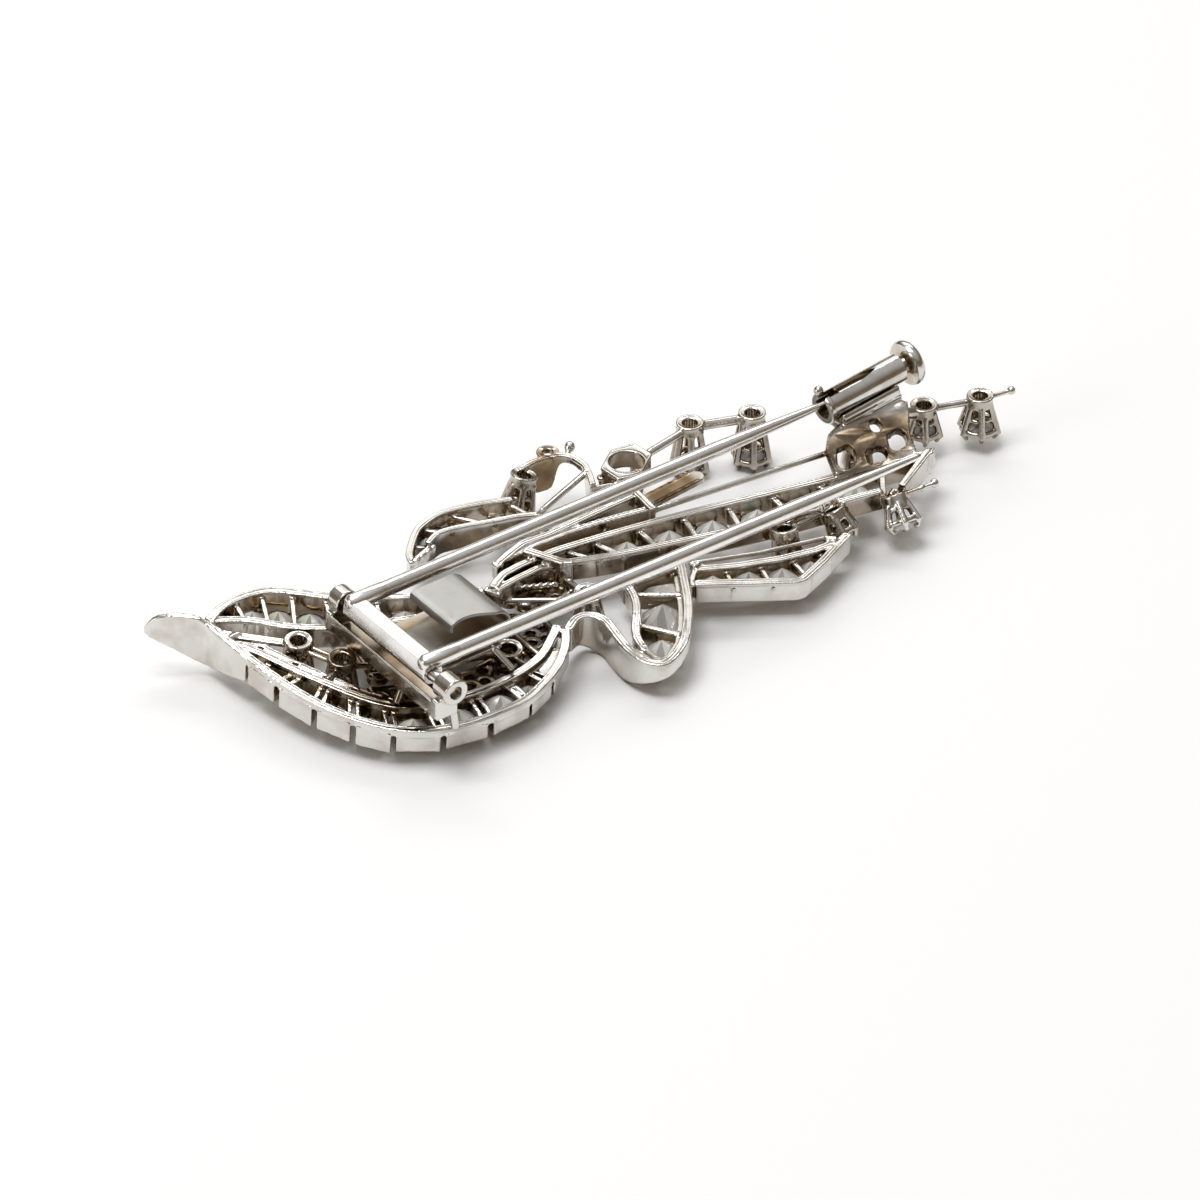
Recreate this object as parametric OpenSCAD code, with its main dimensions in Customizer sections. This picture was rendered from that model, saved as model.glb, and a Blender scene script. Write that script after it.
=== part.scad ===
// Double pin spray brooch, lying face down with its two pin stems on top.
// Millimetres. X runs along the pin stems from the hinge to the catch, Z points up
// from the surface that it lies on. Tables give x and y of each bend of the metal.

/* [Pin stems] */
// Diameter of each pin stem
stem_d = 1.25; // [1.1:0.05:1.35]
// Distance between the two pin stems
stem_pitch = 9.5; // [9.3:0.1:9.7]
// Length of the far pin stem, whose point enters the catch
far_stem_len = 46.4; // [46.2:0.1:46.5]
// Length of the near pin stem, whose point is free
near_stem_len = 46.9; // [45:0.1:47.5]
// Length of the tapered point of a pin stem
point_len = 12; // [8:1:16]
// Radius of the very end of the point
point_r = 0.2; // [0.15:0.01:0.22]
// Fall of the stems towards their points, in degrees
stem_fall = 1.08; // [1.05:0.01:1.1]

/* [Hinge] */
// Height of the hinge axle above the surface
axle_z = 7.2; // [7.1:0.05:7.3]
// Diameter of the hinge axle
axle_d = 1.0; // [0.8:0.05:1.1]
// Radial running clearance of the axle in the crossbar
axle_play = 0.04; // [0.02:0.01:0.08]
// Width of the square crossbar that joins the stems
crossbar_w = 1.35; // [1.2:0.05:1.4]
// Outer diameter of the two hinge knuckles
knuckle_d = 2.1; // [2.0:0.05:2.2]

/* [Catch] */
// Outer diameter of the fixed catch tube
tube_d = 2.4; // [2.3:0.05:2.5]
// Length of the fixed catch tube
tube_len = 7.8; // [7.6:0.1:8.0]
// Width of the slot that lets the pin point in
slot_w = 0.86; // [0.8:0.02:0.9]
// Radial running clearance of the sliding barrel in the tube
slide_play = 0.04; // [0.02:0.01:0.08]
// Diameter of the knob that pulls the barrel out
knob_d = 3.8; // [3.4:0.1:4.0]

/* [Setting] */
// Thickness of the channel walls
wall_t = 0.4; // [0.35:0.05:0.45]
// Width of the flat back rails
rail_w = 0.6; // [0.5:0.05:0.65]
// Depth of the large leaf's far ribbon
channel_h = 2.25; // [2.1:0.05:2.4]
// Diameter of the round stones in the large leaf
leaf_stone_d = 2.1; // [1.8:0.05:2.2]
// Tilt of the large leaf, tip side up, in degrees
leaf_tilt = 5; // [4:0.5:6]
// Radius of the claws that hold the spray stones
claw_r = 0.29; // [0.26:0.01:0.3]

/* [Hidden] */
$fn = 32;

// Shift that brings the middle of the whole brooch over the origin
centre_x = 0.6;
centre_y = 0.1;

// Solder seams between separate sub-assemblies are this wide
seam = 0.04;
// Gap between a stone and its seat
stone_gap = 0.08;
// Overlap of soldered members of one sub-assembly
bite = 0.15;

// Hinge and stems
axle_x = -25.3;
mid_y = -3.3;
stem_rise = 0.8;
far_turn = 0.9;
near_turn = 0.3;
far_stem_y = mid_y + stem_pitch / 2;
near_stem_y = mid_y - stem_pitch / 2;
crossbar_top = 1.1;
crossbar_foot = 0.9;
// Length of the slightly thicker, tapering root of each stem
collar_len = 2.7;
far_knuckle_y = far_stem_y + stem_d / 2 + 0.35;
far_knuckle_len = 1.3;
near_knuckle_y = near_stem_y - stem_d / 2 - 1.2;
near_knuckle_len = 1.7;

// Catch
mouth_x = 19.6;
mouth_y = 2.05;
mouth_z = 6.85;
tube_rise = 5;
tube_turn = 1.5;
tube_bore_r = 0.82;
barrel_bore_r = 0.55;
barrel_back = 1.75;
slot_len = 5.2;

// The large leaf's back plane passes through this height at this y
leaf_z0 = 3.2;
leaf_y0 = -10;

// Columns: x, y of the leaf's outer rail from the tip round to the near curl
LEAF_RIM = [[-33.7, 9.6], [-33.6, 7.5], [-33.4, 5], [-32.8, 0.7], [-31.8, -3.1], [-30.3, -6.2],
            [-28.4, -8.6], [-25.9, -10.2], [-22.8, -11], [-19.2, -11.1], [-17, -10.6],
            [-14.2, -9.3], [-12.1, -7.6], [-10.9, -6]];
// Columns: x, y of the inner rail of the same ribbon
LEAF_INNER = [[-32.6, 6.4], [-31.6, 4.2], [-30.5, 1.2], [-29.5, -1.1], [-28.4, -3.5], [-26.8, -5.8],
              [-24.5, -7], [-21.3, -7.7], [-18.6, -7.8], [-16.7, -7.6], [-14.6, -7], [-12.9, -5.9],
              [-11.6, -4.9]];
// Stations of the square stone boxes as shares of the rail: start, end, depth
BOXES = [[0.171, 0.219, 2.3], [0.229, 0.292, 2.4], [0.302, 0.366, 2.3], [0.376, 0.445, 2.35],
         [0.455, 0.542, 2.1], [0.552, 0.631, 1.9], [0.641, 0.727, 1.85], [0.737, 0.813, 1.9],
         [0.823, 0.93, 2]];
// Number of boxes that hold a stone; the last one is a plain plate
stone_boxes = 8;
INNER_START = 0.10;
INNER_GAIN = 0.92;

// Columns: x, y of the far ribbon's outer rail, from the tip to the stems
FAR_RIM = [[-33.3, 10], [-31.4, 10.75], [-29.2, 10.9], [-27.1, 10.3], [-25.3, 8.8], [-23.4, 7],
           [-20, 4.8], [-16.6, 3], [-13.6, 1.6]];
// Columns: x, y of the far ribbon's inner rail
FAR_INNER = [[-32.9, 9.3], [-31.6, 8.6], [-30.3, 7.6], [-29.2, 6.3], [-27.6, 4.9], [-25, 3.3],
             [-21.6, 1.9], [-17.6, 0.5], [-14.4, -0.4]];
// Shares along the far ribbon at which a divider crosses it
FAR_BARS = [0.2, 0.33, 0.46, 0.59, 0.72, 0.85];

// Columns: x, y, back z in the leaf's plane, front depth, stone diameter of the vein's collets
VEIN = [[-28.9, 4, 0.1, 3.2, 1.7], [-27.3, 0.5, 0.1, 4, 2], [-21.5, -2.5, -0.75, 2.6, 2],
        [-15.5, -4.6, -0.75, 2.2, 1.8]];

// Columns: x, y, low z, high z of the near curl's outer wall
CURL_WALL = [[-10.7, -6.05, 1.3, 3.4], [-9.5, -5.4, 1, 3.5], [-8.6, -5.7, 0.4, 3.5],
             [-8.2, -6.6, 0.1, 3.4], [-8.5, -8.3, 0.03, 3.3], [-8.8, -10.4, 0.3, 3.2],
             [-8.5, -12.4, 1.1, 3.1], [-7.5, -13.5, 1.7, 3.1], [-6.1, -13.3, 1.9, 3.2],
             [-4.3, -12.2, 2, 3.3], [-2.6, -10.4, 2, 3.4], [-1.1, -8.4, 2, 3.4],
             [0, -6.6, 2, 3.4], [1.3, -4.4, 2, 3.4], [1.9, -3.3, 2.1, 3.5]];
// Columns: x, y, low z, high z of the near curl's inner wall
CURL_INNER = [[-3.9, -2.6, 2, 3.5], [-4.1, -3.9, 1.6, 3.4], [-4.7, -5.6, 1.6, 3.4],
              [-5.6, -7, 1.5, 3.4], [-6.6, -8.2, 1.4, 3.3], [-7.4, -9.5, 1.2, 3.2], [-7.7, -10.9, 1, 3.1]];
// Columns: x, y at the inner wall, x, y at the outer wall of each divider
CURL_BARS = [[-4.3, -4.5, -0.5, -7.3], [-6.2, -7.8, -3.8, -11.5], [-7.5, -10, -7.3, -13.3]];

// Columns: x, y of the lower baton's rails
LOWER_RIM = [[0.5, -6.8], [4, -9.2], [7, -11.2], [7.7, -11.3], [10.5, -10.3], [14.15, -8.66]];
LOWER_INNER = [[1.9, -4.8], [4.9, -6.4], [8, -7.6], [10.8, -8.3], [13, -8.4]];
// Columns: x, y at the outer rail, x, y at the inner rail of each divider
LOWER_BARS = [[2.9, -8.5, 4, -5.9], [5.4, -10.2, 6.4, -7.1], [8.3, -11.1, 8.8, -7.9], [11, -10.1, 11, -8.3]];
// Columns: x, y, diameter
LOWER_STONES = [[2.4, -6.5, 1.4], [4.75, -7.95, 1.7], [7.1, -9.1, 1.7], [9.7, -9.3, 1.2]];

// Columns: x, y of the central baton's rails
CENTRAL_FAR = [[-13.2, 1.1], [-11.4, 2.1], [-7.6, 2.3], [-4.1, 1.9], [2.7, 0.65], [9.3, -0.9],
               [15.9, -2.5], [25.2, -4.55]];
CENTRAL_NEAR = [[-12.9, 0.3], [-8.6, 0.7], [-5.7, -0.3], [-2.9, -1.4], [2, -2.9], [8.1, -4.6],
                [15.9, -6.2], [20.6, -7.2]];
CENTRAL_BARS = [0.37, 0.45, 0.53, 0.61, 0.69, 0.77, 0.85, 0.93];

// Columns: x, y of the open stem leaf's rails
STEM_FAR = [[-11.2, 3.1], [-8.2, 4.1], [-5.8, 3.9], [-2.5, 4.05], [2.9, 4.2]];
STEM_NEAR = [[-11.2, 2.7], [-7.1, 3], [-1.8, 2.5], [2.6, 1.6]];

// Columns: x, y of the far curl's rails
FAR_CURL_RIM = [[-16.2, 7.4], [-15.7, 8.6], [-13.7, 10.6], [-12.4, 11.3], [-10.2, 11.7], [-7.1, 10.9],
                [-4.8, 9.9]];
FAR_CURL_INNER = [[-13.4, 8.6], [-12.1, 9.2], [-10.4, 8.9], [-7.8, 8], [-5.9, 7.4], [-4.4, 6.6]];

// Columns: x, y, low z, high z of the arched band in the far spray
ARCH = [[-2.6, 12.1, 2, 4.8], [-1, 12.3, 1.8, 4.8], [0.5, 12.1, 1.9, 4.8], [1.2, 11.8, 3.9, 4.8],
        [1.9, 11.1, 4.1, 4.8], [2.1, 9.6, 4, 4.8], [1.95, 8.9, 3.5, 4.8], [1.6, 8, 1.7, 4.8],
        [1, 6.8, 1.5, 4.8]];
// Columns: x, y of the corners of the six-sided frame
HEX = [[2.6, 8.2], [4.7, 9.7], [6.7, 9.4], [6.9, 7.4], [4.6, 5.7], [2.8, 6.2]];
HEX_MID = [4.75, 7.75];

// Columns: x, y, back z, front depth, stone diameter, tilt about x, tilt about y
COLLETS = [
    [-2.6, 11.2, 4.7, 3.6, 1.9, 0, 14],
    [11.8, 8.9, 5, 4.875, 2.2, 0, 0],
    [16.6, 7.1, 5, 4.875, 2.3, 0, 0],
    [9.9, -5.72, 4, 2.9, 1.6, -12, 0],
    [14.4, -5.92, 4, 2.6, 1.7, -30, -12],
    [19.5, -7.2, 3.9, 2.9, 2.1, -40, 6],
    [28.6, 0.45, 4.5, 3.2, 2.2, 0, 0],
    [32.9, -1.3, 4.6, 3.7, 2.5, 0, 0],
    [-6.9, -2.9, 3.6, 2.6, 1.7, 0, 0],
    [21.3, -0.4, 4.7, 3.3, 1.7, 0, 0]];
// Number of claws round each collet
claws = 6;

// Point between two points or rows
function between(a, b, t) = a + (b - a) * t;
// Point of the smooth curve through the rows, in the span after row i
function on_span(p0, p1, p2, p3, t) =
    0.5 * (2 * p1 + (p2 - p0) * t + (2 * p0 - 5 * p1 + 4 * p2 - p3) * t * t
    + (3 * p1 - p0 - 3 * p2 + p3) * t * t * t);
function curve(rows, steps) = let (last = len(rows) - 1)
    [for (i = [0 : last - 1]) for (k = [0 : steps - 1])
        on_span(rows[max(i - 1, 0)], rows[i], rows[i + 1], rows[min(i + 2, last)], k / steps),
     rows[last]];
// Point at a share of a table's curve, counted in rows
function at(rows, share) = let (last = len(rows) - 1, s = min(max(share, 0), 0.9999) * last, i = floor(s))
    on_span(rows[max(i - 1, 0)], rows[i], rows[i + 1], rows[min(i + 2, last)], s - i);
// Flat unit vector to the left of a path at point i
function left_of(path, i) = let (a = path[max(i - 1, 0)], b = path[min(i + 1, len(path) - 1)],
    d = [b[0] - a[0], b[1] - a[1]]) [-d[1], d[0]] / norm(d);
function flat(p) = [p[0], p[1]];
function reversed(list) = [for (i = [len(list) - 1 : -1 : 0]) list[i]];
function shifted(path, off) = [for (i = [0 : len(path) - 1]) flat(path[i]) + left_of(path, i) * off];

// Flat strip along a path, from one offset to another on its left
module strip(path, off_a, off_b) {
    polygon(concat(shifted(path, off_a), reversed(shifted(path, off_b))));
}

// Straight flat bar of a given width between two points
module bar(a, b, width) {
    n = [a[1] - b[1], b[0] - a[0]] / norm(b - a) * width / 2;
    polygon([a + n, a - n, b - n, b + n]);
}

// Upright wall of changing height along rows of x, y, low z, high z
module wall(rows, steps, off_a, off_b) {
    path = curve(rows, steps);
    last = len(path) - 1;
    points = [for (i = [0 : last]) let (n = left_of(path, i), p = flat(path[i]), a = p + n * off_a,
        b = p + n * off_b, low = path[i][2], high = path[i][3])
        each [[a[0], a[1], low], [a[0], a[1], high], [b[0], b[1], high], [b[0], b[1], low]]];
    sides = [for (i = [0 : last - 1]) for (j = [0 : 3])
        [4 * i + j, 4 * i + (j + 1) % 4, 4 * i + 4 + (j + 1) % 4, 4 * i + 4 + j]];
    polyhedron(points = points, faces = concat([[3, 2, 1, 0]], sides,
        [[4 * last, 4 * last + 1, 4 * last + 2, 4 * last + 3]]));
}

// Flat shape raised between two heights
module raised(low, high) {
    translate([0, 0, low]) linear_extrude(high - low) children();
}

// The large leaf's own plane: z is counted from the back of its rails
module leaf_plane() {
    translate([0, leaf_y0, leaf_z0]) rotate([leaf_tilt, 0, 0]) translate([0, -leaf_y0, 0]) children();
}

// Round stone, table down, widest at z = 0
module brilliant(d) {
    girdle = 0.03 * d;
    rotate_extrude($fn = 8) polygon([[0, -0.17 * d], [0.29 * d, -0.17 * d], [0.5 * d, -girdle / 2],
        [0.5 * d, girdle / 2], [0, 0.42 * d]]);
}

// Long stone with a flat table, widest at z = 0
module baguette(w, l) {
    mirror([0, 0, 1]) linear_extrude(0.3, scale = 0.6, slices = 1) square([w, l], center = true);
    linear_extrude(0.7, scale = [0.25, 0.55], slices = 1) square([w, l], center = true);
}

// Stones sit with their girdle this far above the tips of the claws
girdle_up = 0.45;
// Tube on the back, claws on the front, the back face at z = 0
module collet(depth, stone_d, back_r, hole_r) {
    tube_h = 0.9;
    girdle_z = girdle_up - depth;
    out = stone_d / 2 + claw_r + stone_gap;
    difference() {
        translate([0, 0, -tube_h]) cylinder(h = tube_h, r = back_r);
        translate([0, 0, -tube_h - bite]) cylinder(h = tube_h + 2 * bite, r = hole_r);
    }
    for (k = [0 : claws - 1]) rotate([0, 0, 360 * k / claws]) {
        rod([back_r - 0.2, 0, 0.2 - tube_h], [out, 0, girdle_z], claw_r);
        rod([out + 0.03, 0, girdle_z + 0.2], [stone_d / 2 - 0.02, 0, girdle_z - 0.46], claw_r * 0.7);
    }
}
// Eight-sided rod between two points
module rod(a, b, r) {
    d = b - a;
    translate(a) rotate([0, acos(d[2] / norm(d)), atan2(d[1], d[0])]) cylinder(h = norm(d), r = r, $fn = 8);
}
// Rod between two collets that stops in their walls
module link(a, b, r) {
    d = unit(b - a) * 0.86;
    rod(a + d, b - d, r);
}
module seated_stone(depth, stone_d) {
    translate([0, 0, girdle_up - depth]) brilliant(stone_d);
}
module at_collet(row) {
    translate([row[0], row[1], row[2]]) rotate([row[5], row[6], 0]) children();
}
module collets(list) {
    for (i = list) at_collet(COLLETS[i]) collet(COLLETS[i][3], COLLETS[i][4], 1.04, 0.58);
}

// The near side of the leaf: a continuous back rail, stone boxes under it and the bare blade
module leaf_near_ribbon() {
    rim = curve(LEAF_RIM, 3);
    inner = curve(LEAF_INNER, 3);
    raised(-0.65, 0) strip(rim, 0, rail_w);
    raised(-0.65, 0) strip(inner, -rail_w, 0);
    for (i = [0 : len(BOXES) - 1]) raised(-BOXES[i][2], -0.5) difference() {
        box_outline(BOXES[i], 0);
        if (i < stone_boxes) box_outline(BOXES[i], 0.45);
    }
    wall(BLADE, 3, -0.02, wall_t - 0.02);
    raised(-0.8, -0.2) bar([-11.7, -5.2], [-11.1, -6.1], 0.5);
}
// Columns: x, y, low z, high z of the blade in the leaf's own plane
BLADE = [[-37.05, 12.7, -1.6, -1.05], [-36.75, 12.35, -2, -0.4], [-36.3, 11.95, -2.35, 0.05],
         [-35.5, 11.2, -2.85, 0.35], [-34.7, 10.4, -3.4, 0.45], [-34.05, 9.7, -3.8, 0.38],
         [-33.72, 9.1, -3.88, 0.1], [-33.62, 7.5, -3.45, 0.03], [-33.46, 5.4, -2.7, 0.03],
         [-33.36, 4.5, -2.3, 0.03]];
// Where the inner rail faces the same stone as the outer rail
function inner_share(share) = (share - INNER_START) * INNER_GAIN / (1 - INNER_START) + (1 - INNER_GAIN) / 2;
function box_corners(b) = [at(LEAF_RIM, b[0]), at(LEAF_RIM, b[1]), at(LEAF_INNER, inner_share(b[1])),
    at(LEAF_INNER, inner_share(b[0]))];
function box_mid(b) = let (c = box_corners(b)) (c[0] + c[1] + c[2] + c[3]) / 4;
module box_outline(b, inset) {
    c = box_corners(b);
    mid = box_mid(b);
    proud = inset == 0 ? 0.06 : 0;
    polygon([for (i = [0 : 3]) c[i] + unit(mid - c[i]) * inset
        + (i < 2 ? unit(c[i] - c[3 - i]) * proud : [0, 0])]);
}
function unit(v) = v / norm(v);

// The far side of the leaf: two rails with dividers between its stones
module leaf_far_ribbon() {
    raised(-channel_h, 0) strip(curve(FAR_RIM, 3), -rail_w, 0);
    raised(-channel_h + 0.3, -0.1) strip(curve(FAR_INNER, 3), 0, rail_w);
    for (s = FAR_BARS) raised(-channel_h + 0.1, -0.35) bar(at(FAR_RIM, s), at(FAR_INNER, s), 0.3);
    raised(-1.6, -0.2) bar([-33.55, 9.6], [-32.8, 9.4], 0.8);
    raised(-1.8, -0.2) bar(at(FAR_RIM, 0.98), at(FAR_INNER, 0.98), 0.4);
}

// Pierced strip between the near ribbon and the vein
module leaf_gallery() {
    rail = curve([for (i = [0 : 5]) LEAF_INNER[i]], 3);
    path = [for (i = [1 : len(rail) - 1]) rail[i]];
    raised(-1.3, -0.55) difference() {
        strip(path, -0.1, 1.1);
        for (i = [1 : 3 : 13]) translate(path[i] + left_of(path, i) * 0.6) rotate(20)
            square(0.5, center = true);
    }
}

// Double vein wire with its collets
module leaf_vein() {
    for (v = VEIN) translate([v[0], v[1], v[2]]) collet(v[3], v[4], 1.05, 0.62);
    for (side = [-0.33, 0.33]) {
        rod([-32.9, 8.2 + side, -0.5], [-29.5, 4.6 + side, -0.4], 0.2);
        rod([-28.5 + side, 3.2, -0.5], [-27.6 + side, 1.3, -0.5], 0.2);
    }
    for (i = [1, 2]) link([VEIN[i][0], VEIN[i][1], i == 1 ? -0.7 : -1.2],
        [VEIN[i + 1][0], VEIN[i + 1][1], -1.2], 0.28);
    rod([-33.2, 7.4, -0.5], [-31.9, 7.5, -0.5], 0.35);
    rod([-27.9, 0.1, -0.55], [-29.9, -0.7, -0.4], 0.25);
    rod([-21.6, -3.3, -1.2], [-22.2, -7.4, -0.45], 0.25);
    rod([-15.1, -3.8, -1.2], [-14.6, -0.4, -0.9], 0.25);
    rod([-15.6, -5.4, -1.2], [-15.7, -7.5, -0.45], 0.25);
}

// The whole leaf, soldered into one piece in its own tilted plane
module leaf_setting() {
    color("gainsboro") leaf_plane() {
        leaf_near_ribbon();
        leaf_far_ribbon();
        leaf_gallery();
        leaf_vein();
    }
}

// The near ribbon loop and the lower baton that leaves it
module near_loop() {
    color("gainsboro") {
        near_curl();
        lower_baton();
    }
}
module near_curl() {
    wall(CURL_WALL, 3, 0, rail_w);
    wall(CURL_INNER, 3, 0, rail_w * 0.9);
    for (b = CURL_BARS) raised(1.7, 3.05) bar([b[0], b[1]], [b[2], b[3]], 0.3);
    raised(1.7, 3.3) bar([-4.2, -3.75], [1.2, -4.1], 0.4);
    raised(1.2, 2.9) bar([-7.7, -10.7], [-8.6, -10.9], 0.5);
}
module lower_baton() {
    raised(1.45, 3.2) strip(LOWER_RIM, 0, rail_w);
    raised(1.6, 3.2) strip(LOWER_INNER, -rail_w, 0);
    for (b = LOWER_BARS) raised(1.6, 2.8) bar([b[0], b[1]], [b[2], b[3]], 0.28);
    raised(1.6, 3.1) bar([12.9, -8.5], [14, -8.46], 0.35);
    raised(1.6, 3.1) bar([0.2, -6.5], [2, -4.8], 0.35);
    rod([1.9, -4.5, 3.35], [7.1, -6.62, 3.35], 0.2);
    rod([6.95, -6.57, 3.36], [12.1, -7.95, 3.35], 0.21);
    raised(1.6, 3.3) bar([12.1, -7.8], [12.8, -8.5], 0.4);
    raised(2.8, 3.4) bar([1.9, -4.4], [2, -5], 0.5);
}

// The stems' setting: tapering baton, open leaf, strap, sprays and catch stand, all soldered
module stem_setting() {
    color("gainsboro") {
        central_baton();
        stem_leaf();
        tie_strap();
        near_spray();
        end_spray();
        catch_stand();
    }
}
module central_baton() {
    raised(2.4, 4.4) strip(curve(CENTRAL_FAR, 2), -rail_w, 0);
    difference() {
        raised(2.6, 4.3) strip(curve(CENTRAL_NEAR, 2), 0, rail_w * 0.9);
        for (i = [4, 5]) at_collet(COLLETS[i]) translate([0, 0, -1.1]) cylinder(h = 2.4, r = 0.9);
    }
    for (s = CENTRAL_BARS) raised(2.7, 4.05) bar(at(CENTRAL_FAR, s), at(CENTRAL_NEAR, s), 0.36);
    raised(2.7, 4.1) bar([-13.4, 1.4], [-12.8, 0.2], 0.5);
    baton_end();
}
// Slanted end wall of the baton, leaning outwards towards the front
module baton_end() {
    top = 4.42;
    low = 2.37;
    polyhedron(points = [[25, -4.3, top], [20.2, -6.9, top], [20.5, -7.3, top], [25.6, -4.65, top],
        [25.6, -3.9, low], [20.8, -6.5, low], [21.1, -6.9, low], [26.2, -4.25, low]],
        faces = [[3, 2, 1, 0], [4, 5, 6, 7], [0, 1, 5, 4], [1, 2, 6, 5], [2, 3, 7, 6], [3, 0, 4, 7]]);
}

// The open leaf among the stems, its tongue and the long stem wire
module stem_leaf() {
    raised(3.2, 4.7) strip(curve(STEM_FAR, 2), -rail_w * 0.9, 0);
    raised(3.3, 4.6) strip(curve(STEM_NEAR, 2), 0, rail_w * 0.9);
    raised(3.4, 4.8) bar([2.95, 4.3], [2.6, 1.4], 0.5);
    raised(3.5, 4) {
        bar([2.6, 3.4], [8.6, 3.95], 1.4);
        translate([8.6, 3.95]) circle(r = 0.72);
    }
    rod([2.5, 1.6, 4.5], [18.4, -0.5, 4.65], 0.25);
    raised(3.3, 4.6) bar([-11.2, 2.5], [-11.2, 3.2], 0.6);
    for (x = [-9.4, -1.3]) rod([x, 1.4, 3.6], [x, 3.1, 3.8], 0.3);
}

// Upright strap that ties the stems together, with its collet
module tie_strap() {
    raised(1.6, 4.9) bar([-7.4, 0.1], [-6.6, -0.6], 0.45);
    raised(4.2, 4.9) bar([-7.2, -0.2], [-8.6, 2.9], 0.6);
    collets([8]);
    rod([-7, -0.4, 3.1], [-6.95, -2.1, 3.1], 0.3);
}

// Near side spray with its beaded wire
module near_spray() {
    collets([3, 4, 5]);
    rod([9.9, -5.1, 3.6], [10.1, -4.5, 3.5], 0.32);
    rod([14.6, -5.15, 3.7], [15, -4.85, 3.6], 0.33);
    rod([19.6, -6.7, 3.4], [20.3, -6.3, 3.5], 0.32);
    rod([10.7, -5.7, 3.6], [13.6, -5.6, 3.7], 0.3);
    rod([20.3, -7.3, 3.6], [23.3, -7.5, 3.6], 0.2);
    translate([23.3, -7.5, 3.6]) sphere(r = 0.38);
    translate([22.1, -7.42, 3.6]) sphere(r = 0.3);
}

// The spray beyond the catch
module end_spray() {
    collets([6, 7]);
    link([28.6, 0.45, 4], [32.9, -1.3, 4.15], 0.3);
    rod([33.7, -1.5, 4.2], [35.5, -2, 4.4], 0.2);
    translate([35.5, -2, 4.4]) sphere(r = 0.36);
    rod([25.2, 0.3, 4.9], [27.8, 0.45, 4.1], 0.5);
}

// Pierced saddle sheet that rises from the baton to the catch tube, with its collet
module catch_stand() {
    translate([0, -2.8, 4.05]) rotate([15, 0, 0]) raised(0, 0.75) difference() {
        polygon(STAND);
        for (arch = ARCHES) hull() for (p = [[arch[0], arch[1]], [arch[2], arch[3]]])
            translate(p) circle(r = arch[4]);
    }
    collets([9]);
    on_tube() raised(-2.25, -tube_d / 2 - seam) translate([0.9, -1.6]) square([5.8, 2.3]);
}
// Columns: x and distance up the sheet of the stand's corners
STAND = [[16.9, -0.25], [17.9, 2.4], [18.9, 3.5], [20.2, 4], [26.2, 4], [26.8, 3.4], [26.2, 2.4],
         [24.9, 0.6], [24.3, -1], [23.6, -1.7]];
// Columns: x, y of one end, x, y of the other end, radius of the arched openings
ARCHES = [[18.3, 0.35, 18.95, 1.3, 0.62], [20.6, -0.5, 20.9, 0.1, 0.6], [23, 0, 23.4, 0.8, 0.48]];
module on_tube() {
    translate([mouth_x, mouth_y, mouth_z]) rotate([0, -tube_rise, tube_turn]) children();
}

// Far side loop and spray, soldered together and carried on two struts
module far_loop() {
    color("gainsboro") {
        far_curl();
        far_spray();
        rod([-4.5, 6.9, 3.2], [-4.6, 4.04, 3.7], 0.35);
        rod([3.6, 6.4, 3.7], [3.4, 4.8, 3.9], 0.35);
    }
}
module far_curl() {
    raised(2, 4.2) strip(curve(FAR_CURL_RIM, 3), -wall_t * 1.2, 0);
    raised(2.2, 4.2) strip(curve(FAR_CURL_INNER, 3), 0, wall_t);
    for (s = [0.05, 0.35, 0.62, 0.98]) raised(2.3, 3.7)
        bar(at(FAR_CURL_RIM, 0.22 + s * 0.76), at(FAR_CURL_INNER, s), 0.3);
    raised(3, 3.9) bar([-16, 7.6], [-13.2, 8.6], 0.5);
    for (k = [0 : 3]) rod([-15.5 + k * 0.7, 7.6 + k * 0.25, 3.4], [-15.7 + k * 0.7, 7.3 + k * 0.2, 4.4],
        0.22);
}
module far_spray() {
    wall(ARCH, 3, -wall_t, 0);
    raised(3.2, 4.8) difference() {
        polygon(HEX);
        translate(HEX_MID) circle(r = 1.45);
    }
    for (i = [0 : 2 : 4]) rod([HEX[i][0], HEX[i][1], 4], [between(HEX_MID[0], HEX[i][0], 0.85),
        between(HEX_MID[1], HEX[i][1], 0.85), 1.6], claw_r);
    collets([0, 1, 2]);
    rod([-2.7, 12.1, 4.2], [-2.6, 11.9, 4.2], 0.4);
    rod([0.7, 7, 4.2], [3, 6.4, 4.1], 0.3);
    rod([-4.4, 6.8, 3.9], [-4.1, 6.6, 4.6], 0.3);
    rod([-4.1, 6.6, 4.6], [1.8, 8.8, 4.55], 0.28);
    rod([6.6, 8, 4.4], [11, 8.7, 4.5], 0.35);
    link([11.8, 8.9, 4.5], [16.6, 7.1, 4.5], 0.42);
    translate([0.6, 12.5, 4.3]) difference() {
        cylinder(h = 0.5, r = 0.85);
        translate([0, 0, -bite]) cylinder(h = 1, r = 0.42);
    }
    translate([2.3, 11.9, 4.9]) sphere(r = 0.45);
    rod([2.3, 11.9, 4.9], [1.6, 11.4, 4.5], 0.25);
}

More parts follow.
